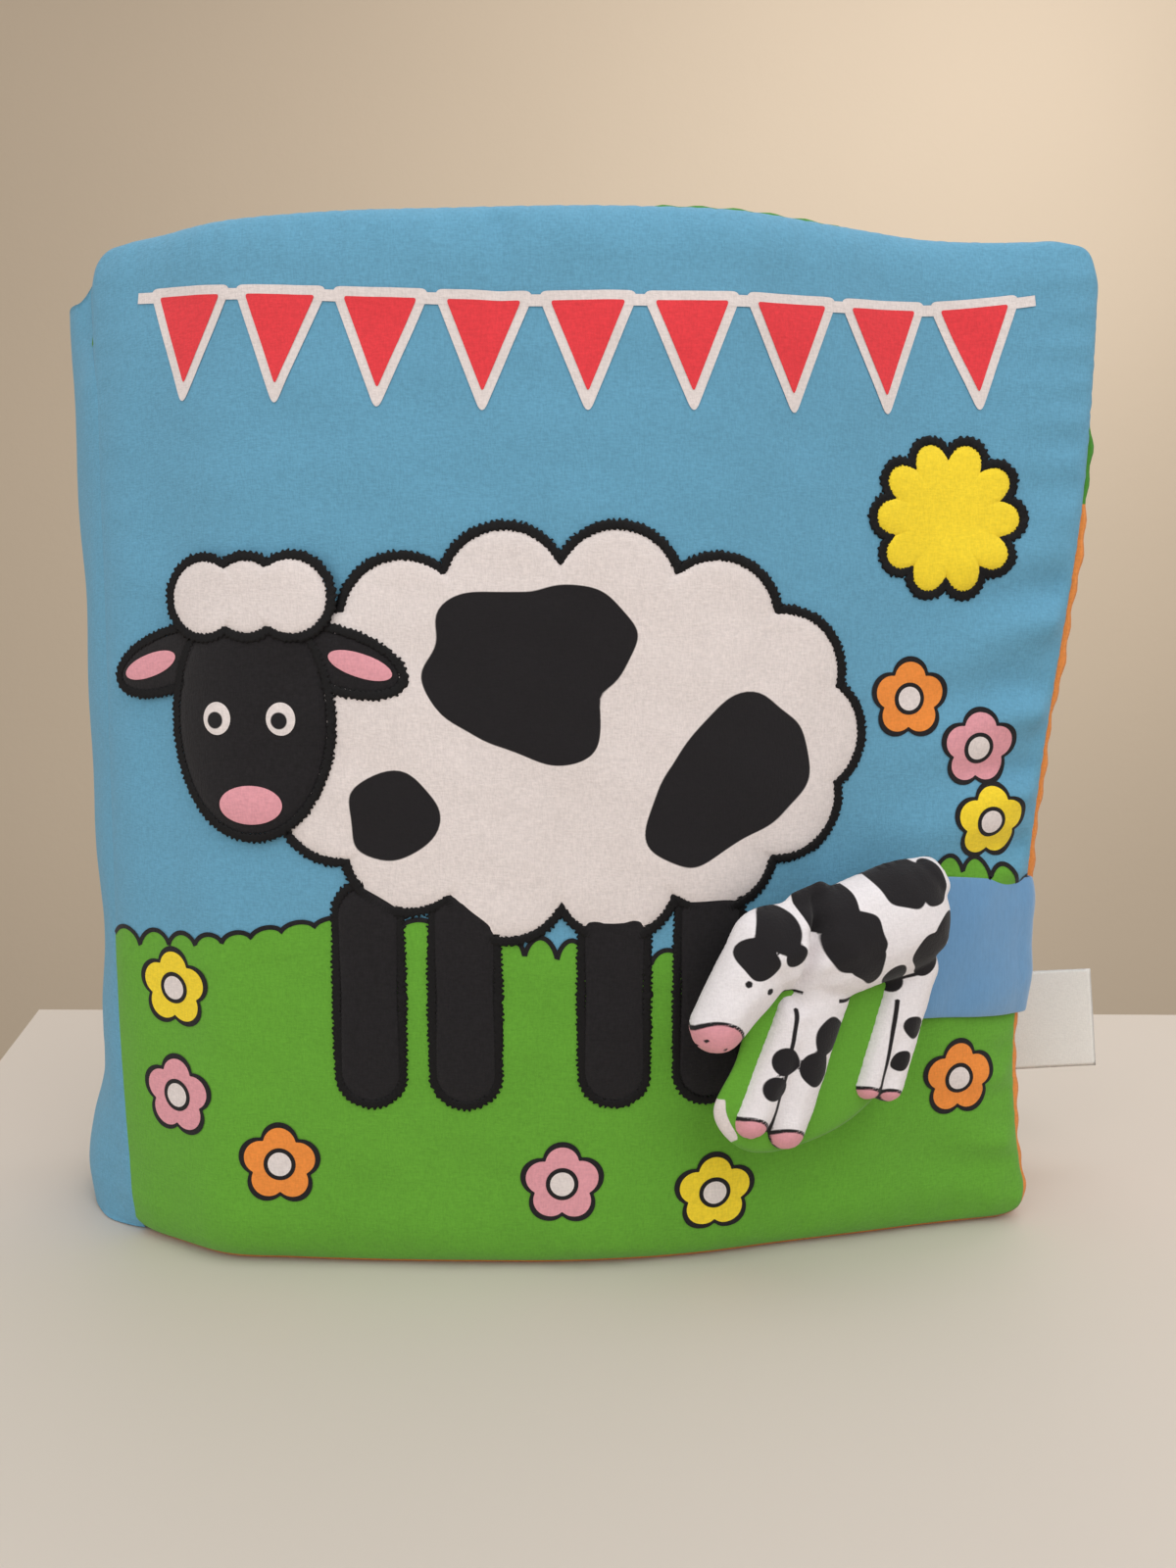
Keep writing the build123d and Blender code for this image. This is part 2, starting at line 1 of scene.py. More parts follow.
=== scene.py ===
"""Looks of a padded cloth book: printed covers, sewn-on pictures, a strap and a stuffed calf.

Lengths are millimetres in the part's frame until a mesh is made, where they become metres.
"""

import json
import math

import bpy
import numpy as np
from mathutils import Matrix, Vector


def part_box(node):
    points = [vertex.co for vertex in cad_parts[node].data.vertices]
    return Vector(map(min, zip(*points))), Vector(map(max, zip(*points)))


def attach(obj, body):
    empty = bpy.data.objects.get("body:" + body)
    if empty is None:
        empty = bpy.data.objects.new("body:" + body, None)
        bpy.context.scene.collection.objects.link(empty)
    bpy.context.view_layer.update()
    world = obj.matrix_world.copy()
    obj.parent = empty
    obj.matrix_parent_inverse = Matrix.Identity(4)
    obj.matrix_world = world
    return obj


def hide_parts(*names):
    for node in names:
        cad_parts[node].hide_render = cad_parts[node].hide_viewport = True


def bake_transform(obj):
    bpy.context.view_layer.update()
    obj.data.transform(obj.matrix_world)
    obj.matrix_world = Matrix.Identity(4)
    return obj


bl_info = {
    "name": "Padded Cloth Book",
    "version": (1, 0, 0),
    "blender": (4, 5, 0),
    "location": "View3D > Sidebar > Cloth Book",
    "description": "Builds the surfaces of a padded cloth book with a strap and a stuffed calf",
    "category": "Object",
}

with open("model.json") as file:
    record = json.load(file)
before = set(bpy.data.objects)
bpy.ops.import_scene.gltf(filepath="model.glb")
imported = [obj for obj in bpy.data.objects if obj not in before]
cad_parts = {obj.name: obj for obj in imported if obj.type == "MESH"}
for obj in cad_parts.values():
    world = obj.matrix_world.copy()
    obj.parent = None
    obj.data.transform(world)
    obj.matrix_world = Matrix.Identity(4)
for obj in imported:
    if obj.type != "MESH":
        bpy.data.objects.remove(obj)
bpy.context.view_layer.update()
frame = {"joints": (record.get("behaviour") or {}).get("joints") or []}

MM = 0.001
JOINT_AT = {joint["name"]: np.array(joint["pos_m"]) / MM for joint in frame["joints"]}
FRONT_SEAM = JOINT_AT["front_cover_turn"]
BACK_SEAM = JOINT_AT["back_cover_turn"]


def node_box(node):
    """A node's lowest and highest corners in millimetres."""
    low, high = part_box(node)
    return np.array(low) / MM, np.array(high) / MM


COVER_LOW, COVER_HIGH = node_box("front_cover")
BACK_LOW, BACK_HIGH = node_box("back_cover")
STRAP_LOW, STRAP_HIGH = node_box("closure_strap")
LABEL_LOW, LABEL_HIGH = node_box("label")
LOOP_LOW, LOOP_HIGH = node_box("loop_patch")
HOOK_LOW, HOOK_HIGH = node_box("hook_patch")
PAGES_TOP = node_box("pages")[1][2]
HEIGHT = COVER_HIGH[2]
LEFT = COVER_LOW[0]
RIGHT = COVER_HIGH[0]
SEAM_MIDDLE_Y = (FRONT_SEAM[1] + BACK_SEAM[1]) / 2
BACK_FORE_Y = (LOOP_LOW[1] + LOOP_HIGH[1]) / 2

# How far the front cover stands forward of its spine seam: x, millimetres
BOW_AT_TOP = [
    (-118.5, -1),
    (-100, 7.5),
    (-83, 17),
    (-62, 22.5),
    (-30, 25.5),
    (10, 26.5),
    (34, 23.5),
    (48, 18),
    (62, 12),
    (77, 6),
    (92, 4),
    (118.5, 7),
]
BOW_AT_FOOT = [
    (-118.5, 2),
    (-108, 9),
    (-99, 14),
    (-88, 19.5),
    (-70, 21.5),
    (-30, 23.3),
    (0, 23),
    (24, 20),
    (48, 14),
    (69, 9),
    (85, 5),
    (118.5, -1),
]
# The fore-edge is drawn in by the strap: height, x
FORE_EDGE = [(0, 116), (14, 111.5), (32, 109.5), (72, 111.5), (127, 113), (182, 117.5), (240, 118.5)]

# The row of leaves between the covers: how far each bows forward at its middle
PAGE_BOWS = [18.0, 11.0, 4.0]
BACK_BOW = -3.0

# How far the spine cloth stands out from the seams: height, bulge
SPINE_BULGE = [
    (0, 16),
    (12, 18.5),
    (20, 17.5),
    (36, 12),
    (60, 11),
    (105, 11),
    (150, 12),
    (215, 13),
    (240, 13),
]

# Ground line on the cover: x, height
GROUND_LINE = [(-118, 73), (-90, 77), (-55, 83), (-10, 75), (25, 74), (55, 84), (84, 92)]
GROUND_LINE += [(102, 88), (118, 80)]
TUFT_PITCH = 8.5
TUFT_HEIGHT = 5.5
OUTLINE_WIDTH = 1.1

# Sewn-on picture of a sheep, and the sun
SHEEP = (-6.0, 126.0)
FLEECE_SIZE = (112.0, 66.0)
SCALLOP_RADIUS = 14.0
SCALLOP_COUNT = 14
HEAD = (-76.0, 130.0)
HEAD_SIZE = (38.0, 54.0)
EAR_SIZE = (30.0, 13.0)
CURL_RADIUS = 9.0
LEG_SPOTS = [-50.0, -28.0, 6.0, 28.0]
LEG_SIZE = (15.0, 52.0)
FLEECE_SPOTS = [
    (-20, 142, 16),
    (-2, 148, 12),
    (-8, 130, 11),
    (36, 120, 15),
    (24, 108, 11),
    (-44, 108, 10),
]
SUN = (84.0, 176.0)
SUN_SIZE = (14.0, 4.5)
SUN_RAYS = 10
STITCH_WIDTH = 2.2
THREAD_PITCH = 0.6

# Printed pennants and flowers
PENNANTS = 9
PENNANT_SIZE = (16.0, 19.0)
PENNANT_BORDER = 2.0
BUNTING = (200.0, 225.0, 6.0)
PINK_FLOWERS = [(-98, 40), (-6, 22), (94, 122)]
ORANGE_FLOWERS = [(-72, 26), (92, 40), (76, 134)]
YELLOW_FLOWERS = [(-98, 66), (30, 18), (98, 104)]
FLOWER_RADIUS = 8.5
FLOWER_EYE = 2.8

# Stuffed calf: its middle on the cover, its slope in plan, how far it stands off the cloth, the
# step of its grid, and how far in front of its back its middle and the web's middle lie
CALF_MIDDLE = (51.0, 66.0)
CALF_SLOPE = 0.31
CALF_LIFT = 3.2
CALF_STEP = 0.6
CALF_DEPTH = 10.0
WEB_DEPTH = 9.2
WEB_CROWN = 1.8
# Where the neck is tucked in: share and half width; its gathers: height, lean, pitch, reach
NECK_TUCK = (0.55, 1.6)
NECK_GATHERS = (0.45, 0.35, 5.5, 4)
# Bars that make up the calf: ends (along, up), end radii; thickness
CALF_PARTS = {
    "body": (((2, 14), (17, 18.5), 12.5, 13.0), 10.0),
    "rump": (((20, 24), (23.5, 15), 7.5, 6.0), 8.0),
    "neck": (((-6, 14), (-14, 13.5), 10.5, 9.0), 8.5),
    "hip": (((24.5, 28), (26, 26), 4.2, 4.0), 5.5),
    "head": (((-15, 14), (-27.0, -2.5), 9.2, 6.2), 7.5),
    "front_leg": (((-2, 2), (-10, -28), 7.0, 4.8), 5.5),
    "far_leg": (((-8, -2), (-18.5, -25), 5.5, 4.3), 4.8),
    "rear_leg": (((22.5, 7), (16, -21), 5.5, 3.6), 4.6),
    "far_rear_leg": (((19, 2), (10.5, -20), 5.0, 3.5), 4.2),
    "ear": (((-7, 23), (-2.5, 26), 3.4, 2.0), 2.6),
}
# Prints on the calf: along, up, radius
CALF_BLACK = [
    (-3, 24, 6.5),
    (2, 16, 7.0),
    (5, 11, 4.5),
    (15, 29, 6.5),
    (22, 27, 4.5),
    (22, 12, 5.5),
    (25, 17, 4.0),
    (14, 6, 3.5),
    (-15, 19, 5.0),
    (-20, 13, 4.2),
    (-12, 14, 2.5),
    (-2, -6, 4.2),
    (-5, -13, 3.8),
    (-12, -11, 3.2),
    (-14.5, -17, 3.0),
    (20, -6, 2.8),
    (17, -14, 2.2),
]
CALF_PINK = [
    (-28.5, -6.5, 6.2),
    (-11, -31.5, 4.9),
    (-20, -28, 4.7),
    (15, -24.5, 3.9),
    (9.3, -23.5, 3.9),
]
CALF_EYES = [(-22.5, 8.0, 0.8), (-17.5, 6.0, 0.8), (-31.0, -4.5, 0.5), (-27.0, -6.5, 0.5)]
# Outline of the web, and the line where the neck is tucked in: along, up
CALF_WEB = [(-15, 4), (-22, -12), (-27, -23), (-20, -32), (-8, -33), (8, -27.5), (21, -14), (24, 4), (6, 10)]
CALF_TUCK = ((-4, 27), (-9.5, 2))

# The cover's own dye is green up to this far below the ground line, under the printed tufts
GROUND_OVERLAP = 3.0
# The front lining: green above a height, seen over the top between these x, and how deep it sinks
# beside them; how far each lining's seam lies from its cover's
GREEN_FROM = 180.0
LINING_SHOWS = (4, 18, 52, 66)
LINING_SINKS = 1.3
FRONT_LINING_GAP = 0.45
BACK_LINING_GAP = -0.4

# Padded leaves: rise of a face over its seam, radius of the rim, and the belt where folds begin
COVER_RISE = 5.2
LINING_RISE = 3.0
PAGE_RISE = 4.2
RIM_RADIUS = 12.0
SEAM_FADE = 5.0
# Lowest height of a lining, and how much a grid closes up towards its ends
FLOOR_GAP = 0.05
END_LEAN = 0.45
# Waves summed in one relief, and the share of thick places in the weave
RIPPLE_WAVES = 7
SLUB_SHARE = 0.15
# Steps across each padded leaf, and as many up it
GRIDS = {"cover": 220, "lining": 170, "back": 150, "back lining": 120, "page": 90}

# The fore-edge curls back beside the strap: depth, x from and to, height, half height
EDGE_CURL = (9, 84, 118, 74, 46)
# Waves of the front cover: height, length
COVER_WAVES = [(0.6, 46), (0.2, 17)]
# Gathers at its seams: height, pitch
SEAM_GATHERS = {"top seam": (0.6, 8), "foot seam": (0.6, 8), "spine seam": (0.2, 8), "fore-edge": (1.2, 10)}
# Creases down from the top seam: x, width, depth, lowest height
TOP_CREASES = [(-19, 2.6, 1.1, 205), (66, 3.5, 0.8, 200)]
# Level folds at the fore-edge: reach, heights where they come and go, height, lean, pitch
EDGE_FOLDS = [(24, (80, 95), (150, 190), 2.0, 0.25, 21), (20, (2, 18), (40, 56), 0.9, -0.2, 17)]
# Dent under the strap: depth, height, half height, x from and to
STRAP_DENT = (1.6, 71, 20, 70, 90)

# Satin stitches: height of a thread, dip between two, and how far their ends wander
THREAD_HEIGHT = 0.7
THREAD_DIP = 0.2
THREAD_ENDS = (-0.1, 0.25)
THREAD_SLANT = 0.25

# Strap: half its thickness, its folds, the cupping of its edges, and the rise of its sewn end
STRAP_HALF = 0.75
STRAP_FOLDS = 0.35
STRAP_CUP = 0.4
STRAP_RISE = 3.5

# Label: half its thickness, and how its free end curls forward, twists, leans and lifts
LABEL_HALF = 0.14
LABEL_CURL = 3.2
LABEL_TWIST = 0.8
LABEL_LEAN = 3.0
LABEL_LIFT = 3.4

# How far each print, picture and stitched rim stands off the cover's face
LIFTS = {
    "rim": 0.2,
    "pennant line": 0.24,
    "ground line": 0.26,
    "flower": 0.28,
    "pennant": 0.32,
    "flower eye rim": 0.35,
    "flower eye": 0.42,
    "leg": 0.3,
    "sun": 0.3,
    "fleece": 0.4,
    "ear": 1.15,
    "head": 1.3,
    "inner ear": 1.7,
    "curls": 2.0,
    "eye": 2.1,
    "nose": 2.1,
}
STITCH_LIFTS = {"leg": 0.2, "fleece": 0.5, "ear": 1.2, "head": 1.4, "curls": 2.1, "sun": 0.3}

# Stage: outlines of the table and the wall; lamps by place, target, width and watts; the camera's
# distance from the front seam, its height, tilt in degrees, lens and sensor
TABLE_OUTLINE = [(-226, 171, 0), (-210, 104, 0), (-900, 40, 0), (-900, -700, 0)]
TABLE_OUTLINE += [(900, -700, 0), (900, 153, 0)]
WALL_Y = 1100.0
WALL_OUTLINE = [(-3000, WALL_Y, -1500), (3000, WALL_Y, -1500), (3000, WALL_Y, 3000), (-3000, WALL_Y, 3000)]
BOOK_MIDDLE = (0, 0, 110)
LAMPS = {
    "key": ((420, -600, 680), BOOK_MIDDLE, 700, 2.82),
    "fill": ((-480, -600, 420), BOOK_MIDDLE, 900, 2.47),
    "top": ((160, -100, 900), BOOK_MIDDLE, 800, 2.56),
    "back": ((-100, 700, 700), BOOK_MIDDLE, 900, 1.46),
    "wall": ((500, 450, 900), (250, WALL_Y, 500), 800, 3.83),
}
WORLD_COLOUR = (1.0, 0.97, 0.93, 1)
WORLD_STRENGTH = 0.38
CAMERA_AWAY = 290.7
CAMERA_HEIGHT = 143
CAMERA_TILT = 84
CAMERA_LENS = 27.0
SENSOR_WIDTH = 36.0

SEEDS = {
    "cover": 4,
    "top seam": 3,
    "foot seam": 5,
    "spine seam": 7,
    "fore-edge": 8,
    "gusset seam": 12,
    "spine": 21,
    "stitch": 33,
    "strap": 40,
    "calf": 52,
    "lining": 60,
    "spots": 71,
    "back cover": 80,
    "back lining": 90,
    "pages": 100,
}


def smooth_step(low, high, value):
    """0 below low, 1 above high, and 3t^2 - 2t^3 between."""
    share = np.clip((value - low) / (high - low), 0, 1)
    return share * share * (3 - 2 * share)


def hermite(t, width, low, high, low_slope, high_slope):
    """A cubic between two values with given slopes, where t goes from 0 to 1 over the width."""
    return (
        low * (2 * t**3 - 3 * t**2 + 1)
        + high * (3 * t**2 - 2 * t**3)
        + low_slope * width * (t**3 - 2 * t**2 + t)
        + high_slope * width * (t**3 - t**2)
    )


def curve(points, value):
    """A smooth curve through points: cubic Hermite spans with slopes from each point's neighbours."""
    knots = np.array(points, float)
    xs = knots[:, 0]
    ys = knots[:, 1]
    slopes = np.gradient(ys, xs)
    value = np.clip(value, xs[0], xs[-1])
    span = np.clip(np.searchsorted(xs, value, side="right") - 1, 0, len(xs) - 2)
    width = xs[span + 1] - xs[span]
    t = (value - xs[span]) / width
    return hermite(t, width, ys[span], ys[span + 1], slopes[span], slopes[span + 1])


def plane_curve(knots, points, at):
    """A smooth curve in a plane through points that stand at the knots."""
    return np.stack([curve(np.stack([knots, points[:, axis]], axis=-1), at) for axis in (0, 1)], axis=-1)


def lengths_along(points):
    """The way from the first point to each point."""
    return np.concatenate([[0], np.cumsum(np.linalg.norm(np.diff(points, axis=0), axis=1))])


def unit_rows(vectors):
    """Each row made one long."""
    return vectors / np.maximum(np.linalg.norm(vectors, axis=1), 1e-6)[:, None]


def turned_right(ahead):
    """Each direction in a plane turned a right angle clockwise."""
    return np.stack([ahead[:, 1], -ahead[:, 0]], axis=-1)


def ripples(across, up, seed, length):
    """Soft uneven relief between about -1 and 1: a sum of plane sine waves of near length."""
    random = np.random.RandomState(seed)
    total = np.zeros(np.broadcast(across, up).shape)
    for _ in range(RIPPLE_WAVES):
        turn = random.uniform(0, 2 * math.pi)
        wave = 2 * math.pi / (length * random.uniform(0.7, 1.5))
        phase = random.uniform(0, 2 * math.pi)
        total = total + np.sin(wave * (across * math.cos(turn) + up * math.sin(turn)) + phase)
    return total / math.sqrt(2 * RIPPLE_WAVES)


def fore_edge_x(z):
    """The front cover's right edge at a height."""
    return curve(FORE_EDGE, z)


def lining_edge_x(z):
    """The lining's right edge, which shows past the cover's in an uneven strip."""
    stand = -2.0 + 0.9 * smooth_step(0, 60, z) + 2.3 * (1 - smooth_step(190, 206, z))
    return fore_edge_x(z) + stand + 0.3 * np.sin(z / 4.3) + 0.25 * np.sin(z / 11)


def front_bow(x, z):
    """How far the front cover bows forward: its curve changes evenly from the foot to the top."""
    bow = curve(BOW_AT_FOOT, x)
    return bow + (curve(BOW_AT_TOP, x) - bow) * smooth_step(0, HEIGHT, z)


def cover_seam_y(x, z):
    """The front cover's seam surface: bowed forward, its fore-edge curled back beside the strap."""
    depth, start, end, middle, half = EDGE_CURL
    curl = depth * smooth_step(start, end, x) * np.exp(-(((z - middle) / half) ** 2))
    return FRONT_SEAM[1] - front_bow(x, z) + curl


def rim_height(distance, radius):
    """A quarter-round rise from a seam, level once it is a radius away."""
    share = np.clip(1 - distance / radius, 0, 1)
    return np.sqrt(1 - share**2)


def puckers(along, distance, seed, pitch=8.0):
    """Gathers that run in from a seam: waves along it that fade within a few pitches."""
    random = np.random.RandomState(seed)
    drift = 1.1 * np.sin(along / 31 + random.uniform(0, 6)) + 0.8 * np.sin(along / 17 + random.uniform(0, 6))
    swell = 0.6 + 0.4 * np.sin(along / 43 + random.uniform(0, 6))
    return swell * np.sin(2 * math.pi * along / pitch + 2.2 * drift) * np.exp(-distance / (0.9 * pitch))


def cover_relief(x, z):
    """Folds of the front cover: soft waves, gathers at all four seams, creases down from the top
    seam, level folds where the strap draws the fore-edge in, and the strap's own dent."""
    from_left = x - LEFT
    from_right = fore_edge_x(z) - x
    relief = 0
    for step, (height, length) in enumerate(COVER_WAVES):
        relief = relief + height * ripples(x, z, SEEDS["cover"] + step, length)
    seams = {
        "top seam": (x, HEIGHT - z),
        "foot seam": (x, z),
        "spine seam": (z, from_left),
        "fore-edge": (z, from_right),
    }
    for seam, (height, pitch) in SEAM_GATHERS.items():
        relief = relief + height * puckers(*seams[seam], SEEDS[seam], pitch)
    for middle, width, depth, lowest in TOP_CREASES:
        relief = relief - depth * np.exp(-(((x - middle) / width) ** 2)) * smooth_step(lowest, HEIGHT, z)
    for reach, come, go, height, lean, pitch in EDGE_FOLDS:
        pull = np.exp(-((from_right / reach) ** 2)) * smooth_step(*come, z) * (1 - smooth_step(*go, z))
        relief = relief + height * pull * np.sin(2 * math.pi * (z + lean * from_right) / pitch)
    depth, middle, half, start, end = STRAP_DENT
    return relief - depth * (np.exp(-(((z - middle) / half) ** 2)) * smooth_step(start, end, x))


def cover_front_y(x, z):
    """The front cover's face: its seam surface raised by the padding inside the rim, with folds."""
    inset_x = np.minimum(x - LEFT, fore_edge_x(z) - x)
    inset_z = np.minimum(z, HEIGHT - z)
    rise = COVER_RISE * rim_height(inset_x, RIM_RADIUS) * rim_height(inset_z, RIM_RADIUS)
    fade = smooth_step(0, SEAM_FADE, np.minimum(inset_x, inset_z))
    return cover_seam_y(x, z) - rise - cover_relief(x, z) * fade


def new_piece(name, vertices, faces, masks=None):
    """A smooth mesh object in metres, with its masks as one number for each vertex."""
    mesh = bpy.data.meshes.new(name)
    corners = faces.tolist() if isinstance(faces, np.ndarray) else faces
    mesh.from_pydata((np.asarray(vertices, float) * MM).tolist(), [], corners)
    mesh.polygons.foreach_set("use_smooth", np.ones(len(mesh.polygons), bool))
    for key, values in (masks or {}).items():
        attribute = mesh.attributes.new(key, "FLOAT", "POINT")
        attribute.data.foreach_set("value", np.asarray(values, np.float32).ravel())
    mesh.update()
    piece = bpy.data.objects.new(name, mesh)
    bpy.context.scene.collection.objects.link(piece)
    return piece


def quads(index):
    """Four-cornered faces over a grid of vertex numbers."""
    return np.stack(
        [index[:-1, :-1], index[1:, :-1], index[1:, 1:], index[:-1, 1:]], axis=-1
    ).reshape(-1, 4)


def wrapped(index):
    """A grid of vertex numbers closed by its own first column."""
    return np.concatenate([index, index[:, :1]], axis=1)


def fan(ring, hub):
    """Three-cornered faces from a ring of vertex numbers to the one in its middle."""
    return [[int(a), int(b), hub] for a, b in zip(ring, np.roll(ring, -1))]


def joined_piece(name, parts):
    """One piece from several (vertices, faces, masks), with the face numbers moved along."""
    vertices = []
    faces = []
    masks = {}
    start = 0
    for points, corners, values in parts:
        vertices.append(points)
        faces += [[int(corner) + start for corner in face] for face in corners]
        start += len(points)
        for key, value in values.items():
            masks.setdefault(key, []).append(np.broadcast_to(value, len(points)))
    masks = {key: np.concatenate(rows) for key, rows in masks.items()}
    return new_piece(name, np.concatenate(vertices), faces, masks)


def dense_ends(count):
    """Steps from -1 to 1 that close up towards both ends: even steps mixed with their sine."""
    t = np.linspace(-1, 1, count)
    return (1 - END_LEAN) * t + END_LEAN * np.sin(math.pi / 2 * t)


def rounded_square(count, power=22.0):
    """A grid over a square whose corners are drawn in like a superellipse, more so near the rim."""
    u, v = np.meshgrid(dense_ends(count), dense_ends(count), indexing="ij")
    reach = np.maximum(np.maximum(abs(u), abs(v)), 1e-6)
    swell = (abs(u / reach) ** power + abs(v / reach) ** power) ** (1 / power)
    factor = swell ** (-(reach**6))
    return u * factor, v * factor


def closed_leaf(front, back):
    """A shell from two equal grids that share their rim: the back grid's rim is dropped."""
    rows, columns = front.shape[:2]
    near = np.arange(rows * columns).reshape(rows, columns)
    far = near.copy()
    inner = (rows - 2) * (columns - 2)
    far[1:-1, 1:-1] = rows * columns + np.arange(inner).reshape(rows - 2, columns - 2)
    vertices = np.concatenate([front.reshape(-1, 3), back[1:-1, 1:-1].reshape(-1, 3)])
    faces = np.concatenate([quads(near), quads(far)[:, ::-1]])
    return vertices, faces


def leaf_grid(seam_y, left, right, low, high, count, wave_seed, slack):
    """Points on a leaf's seam surface: x and z from the rounded square, the edges slightly wavy."""
    u, v = rounded_square(count)
    z = low - slack + (v + 1) / 2 * (high - low + 2 * slack)
    wave = 0.28 * np.sin(2 * math.pi * z / 8.4 + wave_seed) * abs(u) ** 12
    left_x = left(z) - slack
    right_x = right(z) + slack
    x = left_x + (u + 1) / 2 * (right_x - left_x) + wave * np.sign(u)
    z = z + 0.22 * np.sin(2 * math.pi * x / 8.1 + wave_seed) * np.clip(v, 0, 1) ** 12
    inset_x = np.minimum(x - left_x, right_x - x)
    inset_z = np.minimum(z - (low - slack), high + slack - z)
    return x, seam_y(x, z), z, np.clip(inset_x, 0, None), np.clip(inset_z, 0, None)


def padded_leaf(seam_y, left, right, low, high, front_rise, back_rise, relief, seed, count, slack=0.0):
    """A leaf's two cloths: each leaves the seam in a quarter round and carries the relief."""
    x, y, z, inset_x, inset_z = leaf_grid(seam_y, left, right, low, high, count, seed, slack)
    rim = rim_height(inset_x, RIM_RADIUS) * rim_height(inset_z, RIM_RADIUS)
    fade = smooth_step(0, SEAM_FADE, np.minimum(inset_x, inset_z))
    folds = relief(x, z) * fade
    rise = front_rise * rim + (folds if front_rise > 1 else 0)
    fall = back_rise * rim + (0.7 * folds if back_rise > 1 else 0)
    front = np.stack([x, y - rise, z], axis=-1)
    back = np.stack([x, y + fall, z], axis=-1)
    return closed_leaf(front, back)


def plain_relief(seed, width_from, width_to, top):
    """Relief for a leaf that only has soft waves and gathers at its seams."""

    def relief(x, z):
        folds = 0.9 * ripples(x, z, seed, 44) + 0.25 * ripples(x, z, seed + 1, 16)
        folds = folds + 0.5 * puckers(x, top - z, seed + 2) + 0.5 * puckers(x, z, seed + 3)
        folds = folds + 0.5 * puckers(z, x - width_from, seed + 4)
        return folds + 0.5 * puckers(z, width_to - x, seed + 5)

    return relief


def srgb(colour):
    """Display colour to the linear values that shaders take, with alpha."""
    values = np.array(colour[:3], float)
    linear = np.where(values <= 0.04045, values / 12.92, ((values + 0.055) / 1.055) ** 2.4)
    return (*linear.tolist(), 1.0)


class Shader:
    """Adds nodes to one material and links them."""

    def __init__(self, name):
        self.material = bpy.data.materials.new(name)
        self.material.use_nodes = True
        self.tree = self.material.node_tree
        self.surface = self.tree.nodes["Principled BSDF"]
        self.place = self.add("ShaderNodeTexCoord").outputs["Object"]

    def add(self, kind, numbers=None, **settings):
        """One node with the numbers of its inputs and its settings."""
        node = self.tree.nodes.new(kind)
        for key, value in (numbers or {}).items():
            node.inputs[key].default_value = value
        for key, value in settings.items():
            setattr(node, key, value)
        return node

    def link(self, source, target):
        """One link between two sockets."""
        self.tree.links.new(source, target)

    def sums(self, operation, first, second, third=None):
        """A Math node on sockets or numbers."""
        node = self.add("ShaderNodeMath", operation=operation)
        for socket, value in zip(node.inputs, (first, second, third)):
            if value is None:
                continue
            if isinstance(value, (int, float)):
                socket.default_value = value
            else:
                self.link(value, socket)
        return node.outputs[0]

    def noise(self, stretch, detail=2.0, rough=0.5):
        """Noise over the object, stretched by a scale along each axis, per metre."""
        mapping = self.add("ShaderNodeMapping", {"Scale": stretch})
        self.link(self.place, mapping.inputs["Vector"])
        noise = self.add("ShaderNodeTexNoise", {"Scale": 1.0, "Detail": detail, "Roughness": rough})
        self.link(mapping.outputs["Vector"], noise.inputs["Vector"])
        return noise.outputs["Fac"]

    def mask(self, key):
        """A vertex number of the mesh."""
        return self.add("ShaderNodeAttribute", attribute_name=key).outputs["Fac"]

    def step(self, value, softness=0.12):
        """1 where value is above 0, with a short soft border."""
        node = self.add("ShaderNodeMapRange", {"From Min": -softness, "From Max": softness})
        self.link(value, node.inputs["Value"])
        return node.outputs["Result"]

    def blend(self, share, first, second):
        """Mix of two colours, each a socket or a display colour."""
        node = self.add("ShaderNodeMix", data_type="RGBA")
        sockets = [s for s in node.inputs if s.type == "RGBA"]
        for socket, value in zip(sockets, (first, second)):
            if isinstance(value, (tuple, list)):
                socket.default_value = srgb(value)
            else:
                self.link(value, socket)
        if isinstance(share, (int, float)):
            node.inputs["Factor"].default_value = share
        else:
            self.link(share, node.inputs["Factor"])
        return [s for s in node.outputs if s.type == "RGBA"][0]

    def shaded(self, colour, shade):
        """Colours the surface by a socket or a display colour, made lighter or darker by shade."""
        scale = self.add("ShaderNodeVectorMath", operation="SCALE")
        if isinstance(colour, tuple):
            scale.inputs[0].default_value = srgb(colour)[:3]
        else:
            self.link(colour, scale.inputs[0])
        self.link(shade, scale.inputs["Scale"])
        self.link(scale.outputs["Vector"], self.surface.inputs["Base Color"])

    def finished(self, height, strength, distance, numbers):
        """The material, its surface lifted by a height of some millimetres and given its numbers."""
        relief = self.add("ShaderNodeBump", {"Strength": strength, "Distance": distance * MM})
        self.link(height, relief.inputs["Height"])
        self.link(relief.outputs["Normal"], self.surface.inputs["Normal"])
        for key, value in numbers.items():
            self.surface.inputs[key].default_value = value
        return self.material


def weave(shader, pitch):
    """Plain weave: noise drawn out along the warp plus noise drawn out along the weft."""
    fine = 1 / (pitch * MM)
    warp = shader.noise((fine, fine * 0.7, fine * 0.3), 2.0, 0.55)
    weft = shader.noise((fine * 0.3, fine * 0.3, fine), 2.0, 0.55)
    threads = shader.sums("ADD", warp, weft)
    slubs = shader.noise((fine * 0.09, fine * 0.09, fine * 0.3), 2.0, 0.6)
    return shader.sums("MULTIPLY_ADD", slubs, SLUB_SHARE, threads)


